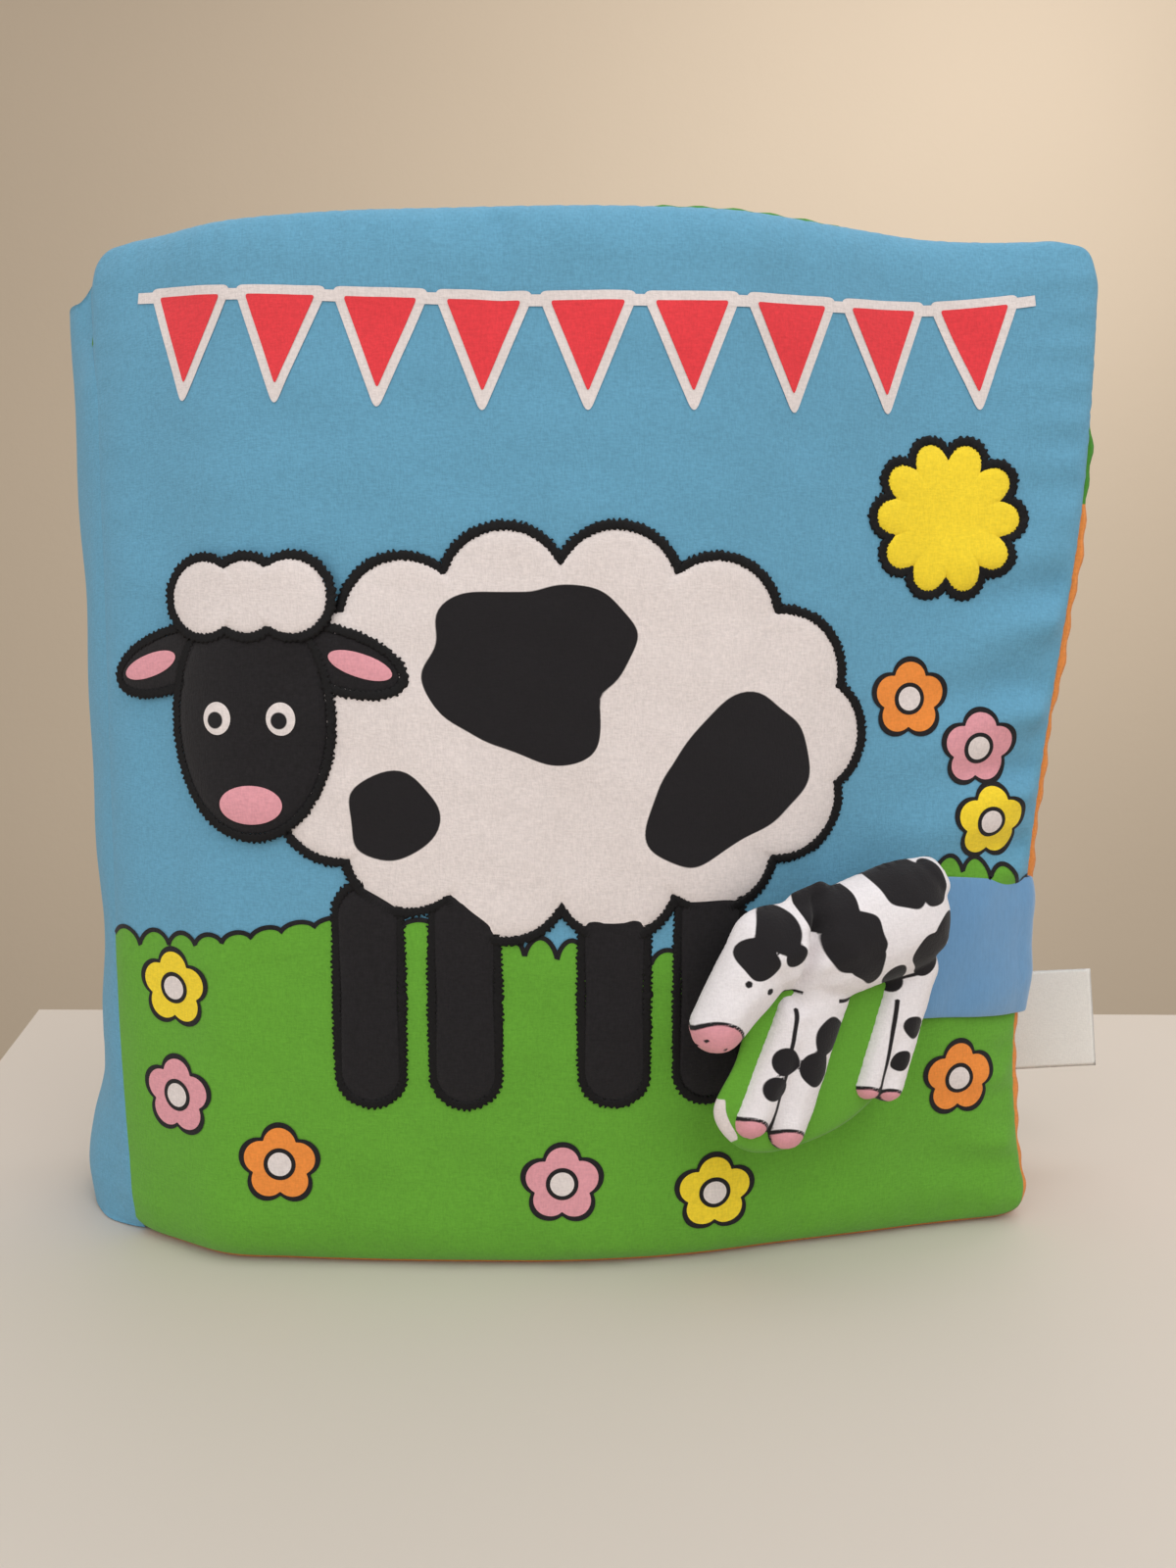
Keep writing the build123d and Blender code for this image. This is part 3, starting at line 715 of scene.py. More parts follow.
def cloth(name, colour, masked=(), roughness=0.9, sheen=0.12, pitch=0.42, bump=0.6, tone=0.11):
    """Woven cotton: its colour, printed areas by mask, threads that shade and lift the surface,
    and a slow unevenness in the dye."""
    shader = Shader(name)
    tint = tuple(colour[:3])
    for key, print_colour in masked:
        tint = shader.blend(shader.step(shader.mask(key)), tint, tuple(print_colour[:3]))
    threads = weave(shader, pitch)
    spread = {"From Min": 0.8, "From Max": 1.5, "To Min": 1 - tone, "To Max": 1 + tone}
    shade = shader.add("ShaderNodeMapRange", spread)
    shader.link(threads, shade.inputs["Value"])
    dye = shader.sums("MULTIPLY_ADD", shader.noise((22, 22, 22), 3.0, 0.6), 0.1, 0.95)
    shader.shaded(tint, shader.sums("MULTIPLY", shade.outputs["Result"], dye))
    numbers = {
        "Roughness": roughness,
        "Sheen Weight": sheen,
        "Sheen Roughness": 0.5,
        "Specular IOR Level": 0.25,
    }
    return shader.finished(threads, bump, 0.15, numbers)


def thread_finish(name, colour):
    """Embroidery thread with a soft shine, its strands told by fine noise; the lighter strands are painted
    glints.
    """
    shader = Shader(name)
    strands_and_glints = shader.noise((1800, 1800, 1800), 2.0, 0.5)
    # darker and lighter strands from one noise: the lighter strands are painted glints on the black thread,
    # over its own tone from strand to strand
    dark = tuple(c * 0.6 for c in colour[:3])
    light = tuple(min(1, c * 1.6) for c in colour[:3])
    shader.link(shader.blend(strands_and_glints, dark, light), shader.surface.inputs["Base Color"])
    return shader.finished(strands_and_glints, 0.4, 0.1, {"Roughness": 0.62, "Specular IOR Level": 0.22})


def knit(name, colour):
    """Brushed jersey: fine upright ribs under a soft nap."""
    shader = Shader(name)
    ribs = shader.noise((1500, 1500, 260), 2.0, 0.5)
    nap = shader.noise((700, 700, 700), 4.0, 0.7)
    both = shader.sums("ADD", ribs, nap)
    shader.shaded(tuple(colour[:3]), shader.sums("MULTIPLY_ADD", both, 0.16, 0.84))
    return shader.finished(both, 0.35, 0.2, {"Roughness": 0.95, "Sheen Weight": 0.5})


def paint(piece, material):
    """The piece's only material."""
    piece.data.materials.clear()
    piece.data.materials.append(material)
    return piece


def colour_property(name, default, description):
    """A colour setting."""
    return bpy.props.FloatVectorProperty(
        name=name, description=description, subtype="COLOR", size=3, min=0, max=1, default=default
    )


def length_property(name, default, description):
    """A length setting, its default given in millimetres."""
    return bpy.props.FloatProperty(
        name=name,
        description=description,
        subtype="DISTANCE",
        unit="LENGTH",
        precision=4,
        min=0.0,
        default=default * MM,
    )


class ClothBookColours(bpy.types.PropertyGroup):
    """Dyes and prints of the book."""

    sky: colour_property("Sky", (0.40, 0.635, 0.755), "Upper part of the covers and the spine")
    ground: colour_property("Ground", (0.395, 0.65, 0.20), "Lower part of the front cover")
    lining_side: colour_property("Lining side", (0.93, 0.58, 0.30), "Lining at the sides and foot")
    lining_top: colour_property("Lining top", (0.30, 0.58, 0.20), "Lining along the top")
    white: colour_property("White", (0.90, 0.86, 0.85), "Sewn-on white cloth")
    black: colour_property("Black", (0.12, 0.11, 0.12), "Sewn-on black cloth and print")
    pink: colour_property("Pink", (0.89, 0.62, 0.66), "Pink cloth and print")
    orange: colour_property("Orange", (0.95, 0.57, 0.25), "Orange print")
    yellow: colour_property("Yellow", (0.97, 0.85, 0.20), "Yellow cloth and print")
    red: colour_property("Red", (0.91, 0.25, 0.28), "Red print")
    strap: colour_property("Strap", (0.39, 0.585, 0.76), "Knitted strap")
    page: colour_property("Page", (0.94, 0.88, 0.72), "Plain page cloth")


class ClothBookSizes(bpy.types.PropertyGroup):
    """Sizes of the padding and the trims."""

    front_padding: length_property("Front padding", COVER_RISE, "Rise of the front cover over its seam")
    lining_padding: length_property("Lining padding", LINING_RISE, "Rise of a lining over its seam")
    page_padding: length_property("Page padding", PAGE_RISE, "Rise of a page over its seam")
    seam_edge: length_property("Seam edge", 0.5, "How far the front lining shows past its cover")
    applique_lift: length_property("Picture lift", 0.7, "Crown of a sewn-on picture")


def colours():
    """The colour settings."""
    return bpy.context.scene.cloth_book_colours


def size(key):
    """One of the size settings in millimetres."""
    return getattr(bpy.context.scene.cloth_book_sizes, key) / MM


def cut_area(piece, sides):
    """The flat area of a piece's cloth in square metres: its mesh area over its number of sides."""
    areas = np.empty(len(piece.data.polygons))
    piece.data.polygons.foreach_get("area", areas)
    return float(areas.sum()) / sides


def declare_strip(piece):
    """The flat area of the piece as one strip of cloth with two sides, worked out and not used."""
    area = cut_area(piece, 2)


def declare_patches(piece):
    """The flat area of the piece as patches of one cloth, and the side of a square of that area, worked out
    and not used.
    """
    side = math.sqrt(cut_area(piece, 1))


def constant(value):
    """An edge that stands at one x."""
    return lambda z: np.full_like(z, value)


def moved_back(seam_y, gap):
    """A seam surface moved back by a gap."""
    return lambda x, z: seam_y(x, z) + gap


class BuildFrontCover(bpy.types.Operator):
    """Front cover's printed cloth and the lining sewn to it"""

    bl_idname = "cloth_book.front_cover"
    bl_label = "Front Cover"

    def execute(self, context):
        shade = colours()
        left = constant(LEFT)
        vertices, faces = padded_leaf(
            cover_seam_y, left, fore_edge_x, 0.9, HEIGHT, size("front_padding"), 0.3,
            cover_relief, 0.4, GRIDS["cover"],
        )
        below = curve(GROUND_LINE, vertices[:, 0]) - vertices[:, 2] - GROUND_OVERLAP
        cover = new_piece("front_cover_cloth", vertices, faces, {"ground": below})
        paint(cover, cloth("sky and ground cotton", shade.sky, [("ground", shade.ground)]))
        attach(cover, "front_board")
        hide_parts("front_cover", "ground_print")

        behind = moved_back(cover_seam_y, FRONT_LINING_GAP)
        relief = plain_relief(SEEDS["lining"], LEFT, RIGHT, HEIGHT)
        vertices, faces = padded_leaf(
            behind, left, lining_edge_x, 0, HEIGHT, 0.0, size("lining_padding"),
            relief, 1.7, GRIDS["lining"], slack=size("seam_edge"),
        )
        x = vertices[:, 0]
        shown = smooth_step(*LINING_SHOWS[:2], x) * (1 - smooth_step(*LINING_SHOWS[2:], x))
        near_top = smooth_step(HEIGHT - RIM_RADIUS, HEIGHT, vertices[:, 2])
        vertices[:, 2] -= LINING_SINKS * (1 - shown) * near_top
        vertices[:, 2] = np.maximum(vertices[:, 2], FLOOR_GAP)
        top = vertices[:, 2] - GREEN_FROM
        lining = new_piece("front_cover_lining_cloth", vertices, faces, {"top": top})
        paint(lining, cloth("lining cotton", shade.lining_side, [("top", shade.lining_top)]))
        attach(lining, "front_board")
        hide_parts("front_cover_lining")
        return {"FINISHED"}


def back_seam_y(x, z):
    """The back cover's seam surface: its slant to the fore-edge and its slight bow."""
    along = (x - LEFT) / (RIGHT - LEFT)
    slant = BACK_FORE_Y - BACK_SEAM[1]
    return BACK_SEAM[1] + slant * along - BACK_BOW * np.sin(math.pi * along) + 0 * z


class BuildBackCover(bpy.types.Operator):
    """Back cover's plain cloth and the lining sewn to it"""

    bl_idname = "cloth_book.back_cover"
    bl_label = "Back Cover"

    def execute(self, context):
        shade = colours()
        left = constant(BACK_LOW[0])
        right = constant(BACK_HIGH[0])
        top = BACK_HIGH[2]
        relief = plain_relief(SEEDS["back cover"], BACK_LOW[0], BACK_HIGH[0], top)
        vertices, faces = padded_leaf(
            back_seam_y, left, right, 0, top, 0.2, PAGE_RISE, relief, 2.2, GRIDS["back"]
        )
        cover = new_piece("back_cover_cloth", vertices, faces)
        paint(cover, cloth("back cover cotton", shade.sky))
        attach(cover, "back_board")
        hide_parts("back_cover")

        ahead = moved_back(back_seam_y, BACK_LINING_GAP)
        relief = plain_relief(SEEDS["back lining"], BACK_LOW[0], BACK_HIGH[0], top)
        vertices, faces = padded_leaf(
            ahead, left, right, 0, top, size("lining_padding"), 0.0,
            relief, 0.9, GRIDS["back lining"], slack=0.4,
        )
        vertices[:, 2] = np.maximum(vertices[:, 2], FLOOR_GAP)
        lining = new_piece("back_cover_lining_cloth", vertices, faces)
        paint(lining, cloth("back lining cotton", shade.lining_side))
        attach(lining, "back_board")
        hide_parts("back_cover_lining")
        return {"FINISHED"}


def page_seam_y(index):
    """The seam surface of page number index, between the front cover's bow and the back cover's."""
    share = (index + 1) / (len(PAGE_BOWS) + 1)
    spine_y = FRONT_SEAM[1] + share * (BACK_SEAM[1] - FRONT_SEAM[1])
    fore_y = FRONT_SEAM[1] + share * (BACK_FORE_Y - FRONT_SEAM[1])

    def seam(x, z):
        along = (x - LEFT) / (RIGHT - LEFT)
        return spine_y + (fore_y - spine_y) * along - front_bow(x, z) * PAGE_BOWS[index] / 25

    return seam


def page_edge_x(z):
    """The pages' fore-edge, behind the front cover's."""
    return fore_edge_x(z) - 3.5


class BuildPages(bpy.types.Operator):
    """Padded page leaves and the sewn bundle that gathers them at the spine"""

    bl_idname = "cloth_book.pages"
    bl_label = "Pages"

    def execute(self, context):
        shade = colours()
        start = LEFT + 2.5
        top = PAGES_TOP
        parts = []
        for index in range(len(PAGE_BOWS)):
            vertices, faces = padded_leaf(
                page_seam_y(index), constant(start), page_edge_x, 0, top,
                size("page_padding"), size("page_padding"),
                plain_relief(SEEDS["pages"] + 10 * index, start, RIGHT, top), index, GRIDS["page"],
            )
            parts.append((vertices, faces, {"tint": float(index) - 0.5, "far_tint": float(index) - 1.5}))
        parts.append(self.bundle(start, top))
        pages = joined_piece("page_leaves", parts)
        finish = cloth(
            "page cotton", shade.page, [("tint", shade.lining_top), ("far_tint", shade.orange)]
        )
        paint(pages, finish)
        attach(pages, "page_block")
        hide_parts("pages")
        return {"FINISHED"}

    def bundle(self, start, top):
        """A closed wedge that narrows from the pages' ends to the spine cloth, its sides pleated."""
        steps = 40
        z = np.linspace(0.2, top - 14, steps)
        wide = (BACK_SEAM[1] - FRONT_SEAM[1]) / 4
        tip_x = LEFT - curve(SPINE_BULGE, z) + 2.5
        ring_x = np.stack([tip_x, *(start + step + 0 * z for step in (4, 9, 9, 4)), tip_x], axis=-1)
        ring_y = np.array([-3, -wide - 2, -wide, wide, wide + 2, 3]) + SEAM_MIDDLE_Y
        pleat = 0.4 * np.sin(z / 3.1)[:, None] * np.sign(ring_y - SEAM_MIDDLE_Y)
        points = np.stack([ring_x, ring_y + pleat, np.broadcast_to(z[:, None], (steps, 6))], axis=-1)
        index = np.arange(steps * 6).reshape(steps, 6)
        faces = quads(wrapped(index))[:, ::-1].tolist()
        for cap in (index[0].tolist(), index[-1][::-1].tolist()):
            faces += [[cap[0], cap[1], cap[4], cap[5]], [cap[1], cap[2], cap[3], cap[4]]]
        return points.reshape(-1, 3), faces, {"tint": -0.5, "far_tint": -1.5}


def through(stops, values, at):
    """Cubic Hermite interpolation at the given places through arrays that stand at the stops."""
    values = np.stack(np.broadcast_arrays(*values))
    stops = np.asarray(stops, float)
    slopes = np.gradient(values, stops, axis=0)
    span = np.clip(np.searchsorted(stops, at, side="right") - 1, 0, len(stops) - 2)
    width = (stops[1:] - stops[:-1])[span]
    ends = [
        np.take_along_axis(rows, (span + step)[None], 0)[0] for rows in (values, slopes) for step in (0, 1)
    ]
    return hermite((at - stops[span]) / width, width, *ends)


def spine_path(turn, z):
    """The spine cloth in plan at each height: from the front cover's face, round its seam, out by
    the bulge and back on to the back cover's face."""
    bulge = curve(SPINE_BULGE, z)
    start_x = LEFT + 2.6 + 2.5 * (1 - smooth_step(0, 60, z))
    end_x = BACK_LOW[0] + 3 + 0 * z
    front_y = cover_seam_y(LEFT + 0 * z, z)
    tuck = 4 * smooth_step(HEIGHT - 34, HEIGHT - 12, z)
    stops = [-1, -0.93, -0.82, -0.55, 0, 0.55, 0.84, 1]
    across = [
        start_x + 1.4,
        start_x - 1.2,
        LEFT - 0.8 - 0.05 * bulge,
        LEFT - 0.58 * bulge,
        LEFT - bulge,
        LEFT - 0.66 * bulge,
        LEFT - 0.1 * bulge,
        end_x,
    ]
    away = [
        cover_front_y(start_x + 1.4, z) + 1.1 + tuck,
        cover_front_y(start_x - 1.2, z) - 0.15 + tuck,
        front_y - 1.0 + tuck,
        front_y + 7,
        SEAM_MIDDLE_Y + 0 * z,
        BACK_SEAM[1] - 7 + 0 * z,
        BACK_SEAM[1] + 1.4 + 0 * z,
        back_seam_y(end_x, z) + 3.4,
    ]
    return through(stops, across, turn), through(stops, away, turn)


def spine_surface(turn, z, thickness):
    """Points of the spine cloth on a grid whose rows run round it: its path, lifted by soft pleats
    and moved inwards by a thickness along its normal."""
    x, y = spine_path(turn, z)
    ahead_x = np.gradient(x, axis=0)
    ahead_y = np.gradient(y, axis=0)
    length = np.maximum(np.hypot(ahead_x, ahead_y), 1e-6)
    free = smooth_step(0, 0.3, 1 - abs(turn))
    gathers = puckers(z, 26 * (1 - abs(turn)), SEEDS["gusset seam"])
    pleats = 0.7 * ripples(turn * 30, z, SEEDS["spine"], 42) + 0.2 * gathers
    inwards = thickness - free * pleats
    return np.stack([x + inwards * ahead_y / length, y - inwards * ahead_x / length, z], axis=-1)


class BuildSpine(bpy.types.Operator):
    """Spine cloth in two halves that meet along its middle"""

    bl_idname = "cloth_book.spine"
    bl_label = "Spine"

    def execute(self, context):
        shade = colours()
        finish = cloth("spine cotton", shade.sky)
        for name, low, high, board in (
            ("spine_front_half", -1, 0, "front_board"),
            ("spine_back_half", 0, 1, "back_board"),
        ):
            around = np.linspace(low, high, 60)
            turn, share = np.meshgrid(around, np.linspace(0, 1, 170), indexing="ij")
            top = HEIGHT - 5 - 5.5 * smooth_step(0, 0.4, 1 - abs(turn))
            z = 0.3 + (top - 0.3) * share
            outer = spine_surface(turn, z, 0)
            inner = spine_surface(turn, z, 0.9 * smooth_step(0, 0.12, 1 - abs(turn)) + 0.1)
            piece = self.shell(name, outer, inner)
            paint(piece, finish)
            declare_strip(piece)
            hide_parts("spine_gusset")
            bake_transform(piece)
        return {"FINISHED"}

    def shell(self, name, outer, inner):
        """A closed thin shell between two equal grids, walled along its four edges."""
        rows, columns = outer.shape[:2]
        near = np.arange(rows * columns).reshape(rows, columns)
        far = near + rows * columns
        faces = [quads(near), quads(far)[:, ::-1]]
        ends = [(near[0], far[0]), (far[-1], near[-1])]
        for a, b in ends + [(far[:, 0], near[:, 0]), (near[:, -1], far[:, -1])]:
            faces.append(np.stack([a[:-1], b[:-1], b[1:], a[1:]], axis=-1))
        vertices = np.concatenate([outer.reshape(-1, 3), inner.reshape(-1, 3)])
        return new_piece(name, vertices, np.concatenate(faces))


def ray_reach(turn, circles):
    """How far a ray from the middle reaches before it leaves a cluster of circles: the largest of
    c.d + sqrt(r^2 - |c x d|^2) over the circles (cx, cy, r)."""
    reach = np.zeros_like(turn)
    for cx, cy, radius in circles:
        ahead = cx * np.cos(turn) + cy * np.sin(turn)
        aside = cx * np.sin(turn) - cy * np.cos(turn)
        room = radius**2 - aside**2
        far = np.where(room > 0, ahead + np.sqrt(np.clip(room, 0, None)), 0)
        reach = np.maximum(reach, far)
    return reach


def round_loop(count):
    """Angles once round, the last short of the first."""
    return np.linspace(0, 2 * math.pi, count, endpoint=False)


def rounds(half_x, half_z, radius, turns):
    """Circles (x, z, radius) set along an oval at the given angles."""
    return [(half_x * math.cos(t), half_z * math.sin(t), radius) for t in turns]


def cluster_loop(middle, circles, count):
    """Outline of a cluster of circles round a middle, seen from that middle."""
    turn = round_loop(count)
    reach = ray_reach(turn, circles)
    return np.stack([middle[0] + reach * np.cos(turn), middle[1] + reach * np.sin(turn)], axis=-1)


def fleece_loop(count=720):
    """Outline of the fleece: rounds set along an oval."""
    half_x = FLEECE_SIZE[0] / 2
    half_z = FLEECE_SIZE[1] / 2
    return cluster_loop(SHEEP, rounds(half_x, half_z, SCALLOP_RADIUS, round_loop(SCALLOP_COUNT)), count)


def oval_loop(middle, size, tilt=0.0, count=160):
    """Outline of an oval of full size, tilted in degrees."""
    turn = round_loop(count)
    tilt = math.radians(tilt)
    across = size[0] / 2 * np.cos(turn)
    up = size[1] / 2 * np.sin(turn)
    x = middle[0] + across * math.cos(tilt) - up * math.sin(tilt)
    return np.stack([x, middle[1] + across * math.sin(tilt) + up * math.cos(tilt)], axis=-1)


def slot_loop(middle, size):
    """Outline of an upright bar: a circle whose upper and lower halves are drawn apart."""
    turn = round_loop(200)
    radius = size[0] / 2
    half = size[1] / 2 - radius
    x = middle[0] + radius * np.cos(turn)
    z = middle[1] + radius * np.sin(turn) + half * np.clip(np.sin(turn) * 4, -1, 1)
    return np.stack([x, z], axis=-1)


def curls_loop():
    """Outline of the wool on the head: three rounds in a row."""
    middle = (HEAD[0], HEAD[1] + HEAD_SIZE[1] / 2)
    step = CURL_RADIUS * 1.2
    return cluster_loop(middle, [(x, 0, CURL_RADIUS) for x in (-step, 0, step)], 240)


def sun_loop():
    """Outline of the sun: rounds set along a circle."""
    radius, ray = SUN_SIZE
    return cluster_loop(SUN, [(0, 0, radius)] + rounds(radius, radius, ray, round_loop(SUN_RAYS)), 300)


def ear_loops():
    """Outlines of the two drooping ears."""
    loops = []
    for side in (-1, 1):
        middle = (HEAD[0] + side * HEAD_SIZE[0] * 0.55, HEAD[1] + HEAD_SIZE[1] * 0.24)
        loops.append(oval_loop(middle, EAR_SIZE, -18 * side))
    return loops


def leg_loops():
    """Outlines of the four legs."""
    middle_z = SHEEP[1] - FLEECE_SIZE[1] / 2 - LEG_SIZE[1] / 2
    return [slot_loop((x, middle_z), LEG_SIZE) for x in LEG_SPOTS]


def laid_patch(loop, lift, crown=0.0, rings=14, inset=1.0):
    """A sheet on the front cover inside a loop: rings shrink from the loop to its middle, each
    point is lifted off the cover, and the sheet crowns away from its sewn edge."""
    middle = loop.mean(axis=0)
    share = np.linspace(1, 0, rings) ** 0.8
    arms = loop - middle
    edge = middle + arms * (1 - inset / np.maximum(np.linalg.norm(arms, axis=1), 1e-6))[:, None]
    flat = middle + (edge[None] - middle) * share[:-1, None, None]
    room = (1 - share[:-1, None]) * np.linalg.norm(edge - middle, axis=1)[None]
    x = flat[..., 0]
    z = flat[..., 1]
    y = cover_front_y(x, z) - (lift + crown * rim_height(room, 6))
    points = np.stack([x, y, z], axis=-1).reshape(-1, 3)
    top = np.array([[middle[0], cover_front_y(middle[0], middle[1]) - lift - crown, middle[1]]])
    index = np.arange(len(points)).reshape(rings - 1, len(loop))
    faces = quads(wrapped(index))[:, ::-1].tolist() + fan(index[-1], len(points))
    return np.concatenate([points, top]), faces, {}


def spot_field(points, spots):
    """Positive inside any of the rounds (x, z, radius), growing inwards."""
    field = np.full(len(points), -99.0)
    for x, z, radius in spots:
        field = np.maximum(field, radius - np.hypot(points[:, 0] - x, points[:, 2] - z))
    return field


def uneven_spots(points, spots):
    """Spots with a wandering edge, run together where they meet."""
    fields = [np.hypot(points[:, 0] - x, points[:, 2] - z) - radius for x, z, radius in spots]
    return 1.3 * ripples(points[:, 0], points[:, 2], SEEDS["spots"], 15) - smooth_min(fields, 2.2)


def stand_for(piece, node):
    """The piece rides with the front cover and stands for a node that is sewn or printed on it."""
    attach(piece, "front_board")
    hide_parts(node)


class BuildPictures(bpy.types.Operator):
    """Sewn-on cloth: the sheep's fleece, wool, face, ears and legs, and the sun"""

    bl_idname = "cloth_book.pictures"
    bl_label = "Sewn-on Pictures"

    def execute(self, context):
        shade = colours()
        crown = size("applique_lift")
        finish = cloth("white cotton", shade.white, [("spots", shade.black)], tone=0.1)
        self.sewn("white_pictures", self.white(crown), finish, "white_cloth", "white_cotton")
        black = [laid_patch(oval_loop(HEAD, HEAD_SIZE), LIFTS["head"], crown, rings=16)]
        black += [laid_patch(loop, LIFTS["ear"], 0.4) for loop in ear_loops()]
        black += [laid_patch(loop, LIFTS["leg"], 0.7, rings=12) for loop in leg_loops()]
        finish = cloth("black cotton", shade.black, tone=0.3)
        self.sewn("black_pictures", black, finish, "black_cloth", "black_cotton")
        finish = cloth("pink cotton", shade.pink, tone=0.1)
        self.sewn("pink_pictures", self.pink(), finish, "pink_cloth", "pink_cotton")
        sun = [laid_patch(sun_loop(), LIFTS["sun"], 0.9)]
        finish = cloth("yellow cotton", shade.yellow, tone=0.1)
        self.sewn("sun_picture", sun, finish, "yellow_sun", "yellow_cotton")
        return {"FINISHED"}

    def white(self, crown):
        """The fleece with its dark spots, the wool on the head and the eyes with their pupils."""
        fleece, faces, _ = laid_patch(fleece_loop(), LIFTS["fleece"], crown, rings=40)
        parts = [(fleece, faces, {"spots": uneven_spots(fleece, FLEECE_SPOTS)})]
        curls, faces, _ = laid_patch(curls_loop(), LIFTS["curls"], crown)
        parts.append((curls, faces, {"spots": -9.0}))
        for side in (-1, 1):
            x = HEAD[0] + side * HEAD_SIZE[0] * 0.2
            loop = oval_loop((x, HEAD[1]), (7, 7.6))
            eye, faces, _ = laid_patch(loop, LIFTS["eye"], 0.2, rings=6, inset=0.1)
            parts.append((eye, faces, {"spots": spot_field(eye, [(x - 0.4, HEAD[1] - 0.4, 1.9)])}))
        return parts

    def pink(self):
        """The inner ears and the nose."""
        parts = []
        for side in (-1, 1):
            middle = (HEAD[0] + side * HEAD_SIZE[0] * 0.68, HEAD[1] + HEAD_SIZE[1] * 0.22)
            loop = oval_loop(middle, (15, 5.4), -18 * side)
            parts.append(laid_patch(loop, LIFTS["inner ear"], 0.2, rings=7, inset=0.1))
        nose = oval_loop((HEAD[0], HEAD[1] - HEAD_SIZE[1] * 0.36), (15, 9))
        return parts + [laid_patch(nose, LIFTS["nose"], 0.3, rings=7, inset=0.1)]

    def sewn(self, name, parts, finish, node, slot):
        """One cloth's patches, which lie sewn down on the front cover."""
        piece = paint(joined_piece(name, parts), finish)
        declare_patches(piece)
        stand_for(piece, node)


def resampled(loop, pitch):
    """A closed loop at even steps of about pitch."""
    closed = np.concatenate([loop, loop[:1]])
    length = lengths_along(closed)
    count = int(length[-1] / pitch)
    at = np.linspace(0, length[-1], count, endpoint=False)
    return np.stack([np.interp(at, length, closed[:, 0]), np.interp(at, length, closed[:, 1])], axis=-1)


def satin_band(loop, lift, random):
    """A stitched rim: across each step of the loop lies a thread, round in section, with uneven
    ends, and every other sample dips between two threads."""
    line = resampled(loop, THREAD_PITCH / 2)
    line = line[: len(line) // 2 * 2]
    ahead = unit_rows(np.roll(line, -3, axis=0) - np.roll(line, 3, axis=0))
    aside = turned_right(ahead)
    threads = len(line) // 2
    middle = STITCH_WIDTH / 2 + np.tile([0.2, -0.2], threads)[:threads]
    outer = np.repeat(middle + random.uniform(*THREAD_ENDS, threads), 2)
    inner = np.repeat(middle + random.uniform(*THREAD_ENDS, threads), 2)
    slant = np.repeat(random.uniform(-THREAD_SLANT, THREAD_SLANT, threads), 2)
    dip = np.tile([0.0, THREAD_DIP], threads)
    across = np.linspace(-1, 1, 9)
    reach = np.where(across[None] > 0, outer[:, None], inner[:, None]) * across[None]
    lean = (slant[:, None] * across)[..., None]
    flat = line[:, None] + aside[:, None] * reach[..., None] + ahead[:, None] * lean
    swell = np.sqrt(np.clip(1 - across**4, 0, 1))
    height = lift + (THREAD_HEIGHT - dip[:, None]) * swell[None] - THREAD_DIP
    x = flat[..., 0]
    z = flat[..., 1]
    points = np.stack([x, cover_front_y(x, z) - height, z], axis=-1)
    index = np.arange(len(line) * 9).reshape(len(line), 9)
    index = np.concatenate([index, index[:1]], axis=0)
    return points.reshape(-1, 3), quads(index).tolist(), {}


class BuildStitching(bpy.types.Operator):
    """Black satin stitching round every sewn-on picture"""

    bl_idname = "cloth_book.stitching"
    bl_label = "Satin Stitching"

    def execute(self, context):
        random = np.random.RandomState(SEEDS["stitch"])
        rims = [(loop, "leg") for loop in leg_loops()]
        rims += [(fleece_loop(1400), "fleece")]
        rims += [(loop, "ear") for loop in ear_loops()]
        rims += [(oval_loop(HEAD, HEAD_SIZE, count=400), "head")]
        rims += [(curls_loop(), "curls"), (sun_loop(), "sun")]
        parts = [satin_band(loop, STITCH_LIFTS[picture], random) for loop, picture in rims]
        stitching = joined_piece("satin_stitches", parts)
        paint(stitching, thread_finish("black thread", (0.055, 0.05, 0.055)))
        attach(stitching, "front_board")
        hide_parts("satin_stitching")
        return {"FINISHED"}


def grass_top(x):
    """The ground's upper edge: the ground line with rounded tufts of uneven height."""
    phase = x / TUFT_PITCH + 0.35 * np.sin(x / 13)
    lobe = np.sqrt(abs(np.sin(math.pi * phase)))
    uneven = 0.65 + 0.35 * np.sin(x / 19 + 2)
    return curve(GROUND_LINE, x) + TUFT_HEIGHT * uneven * lobe


def flat_band(path, lift, width):
    """A flat print of even width along a path of x and height."""
    aside = turned_right(unit_rows(np.gradient(path, axis=0))) * width / 2
    rows = np.stack([path - aside, path, path + aside])
    x = rows[..., 0]
    z = rows[..., 1]
    points = np.stack([x, cover_front_y(x, z) - lift, z], axis=-1)
    index = np.arange(x.size).reshape(x.shape)
    return points.reshape(-1, 3), quads(index).tolist(), {}


def flower_loop(middle, radius):
    """Outline of five round petals."""
    ring = radius * 0.56
    petals = rounds(ring, ring, radius * 0.46, round_loop(5) + 0.31)
    return cluster_loop(middle, petals + [(0, 0, ring)], 150)


def printed(loop, lift, rings=7):
    """A flat print inside a loop, only just clear of the cover."""
    return laid_patch(loop, LIFTS[lift], rings=rings, inset=0.0)


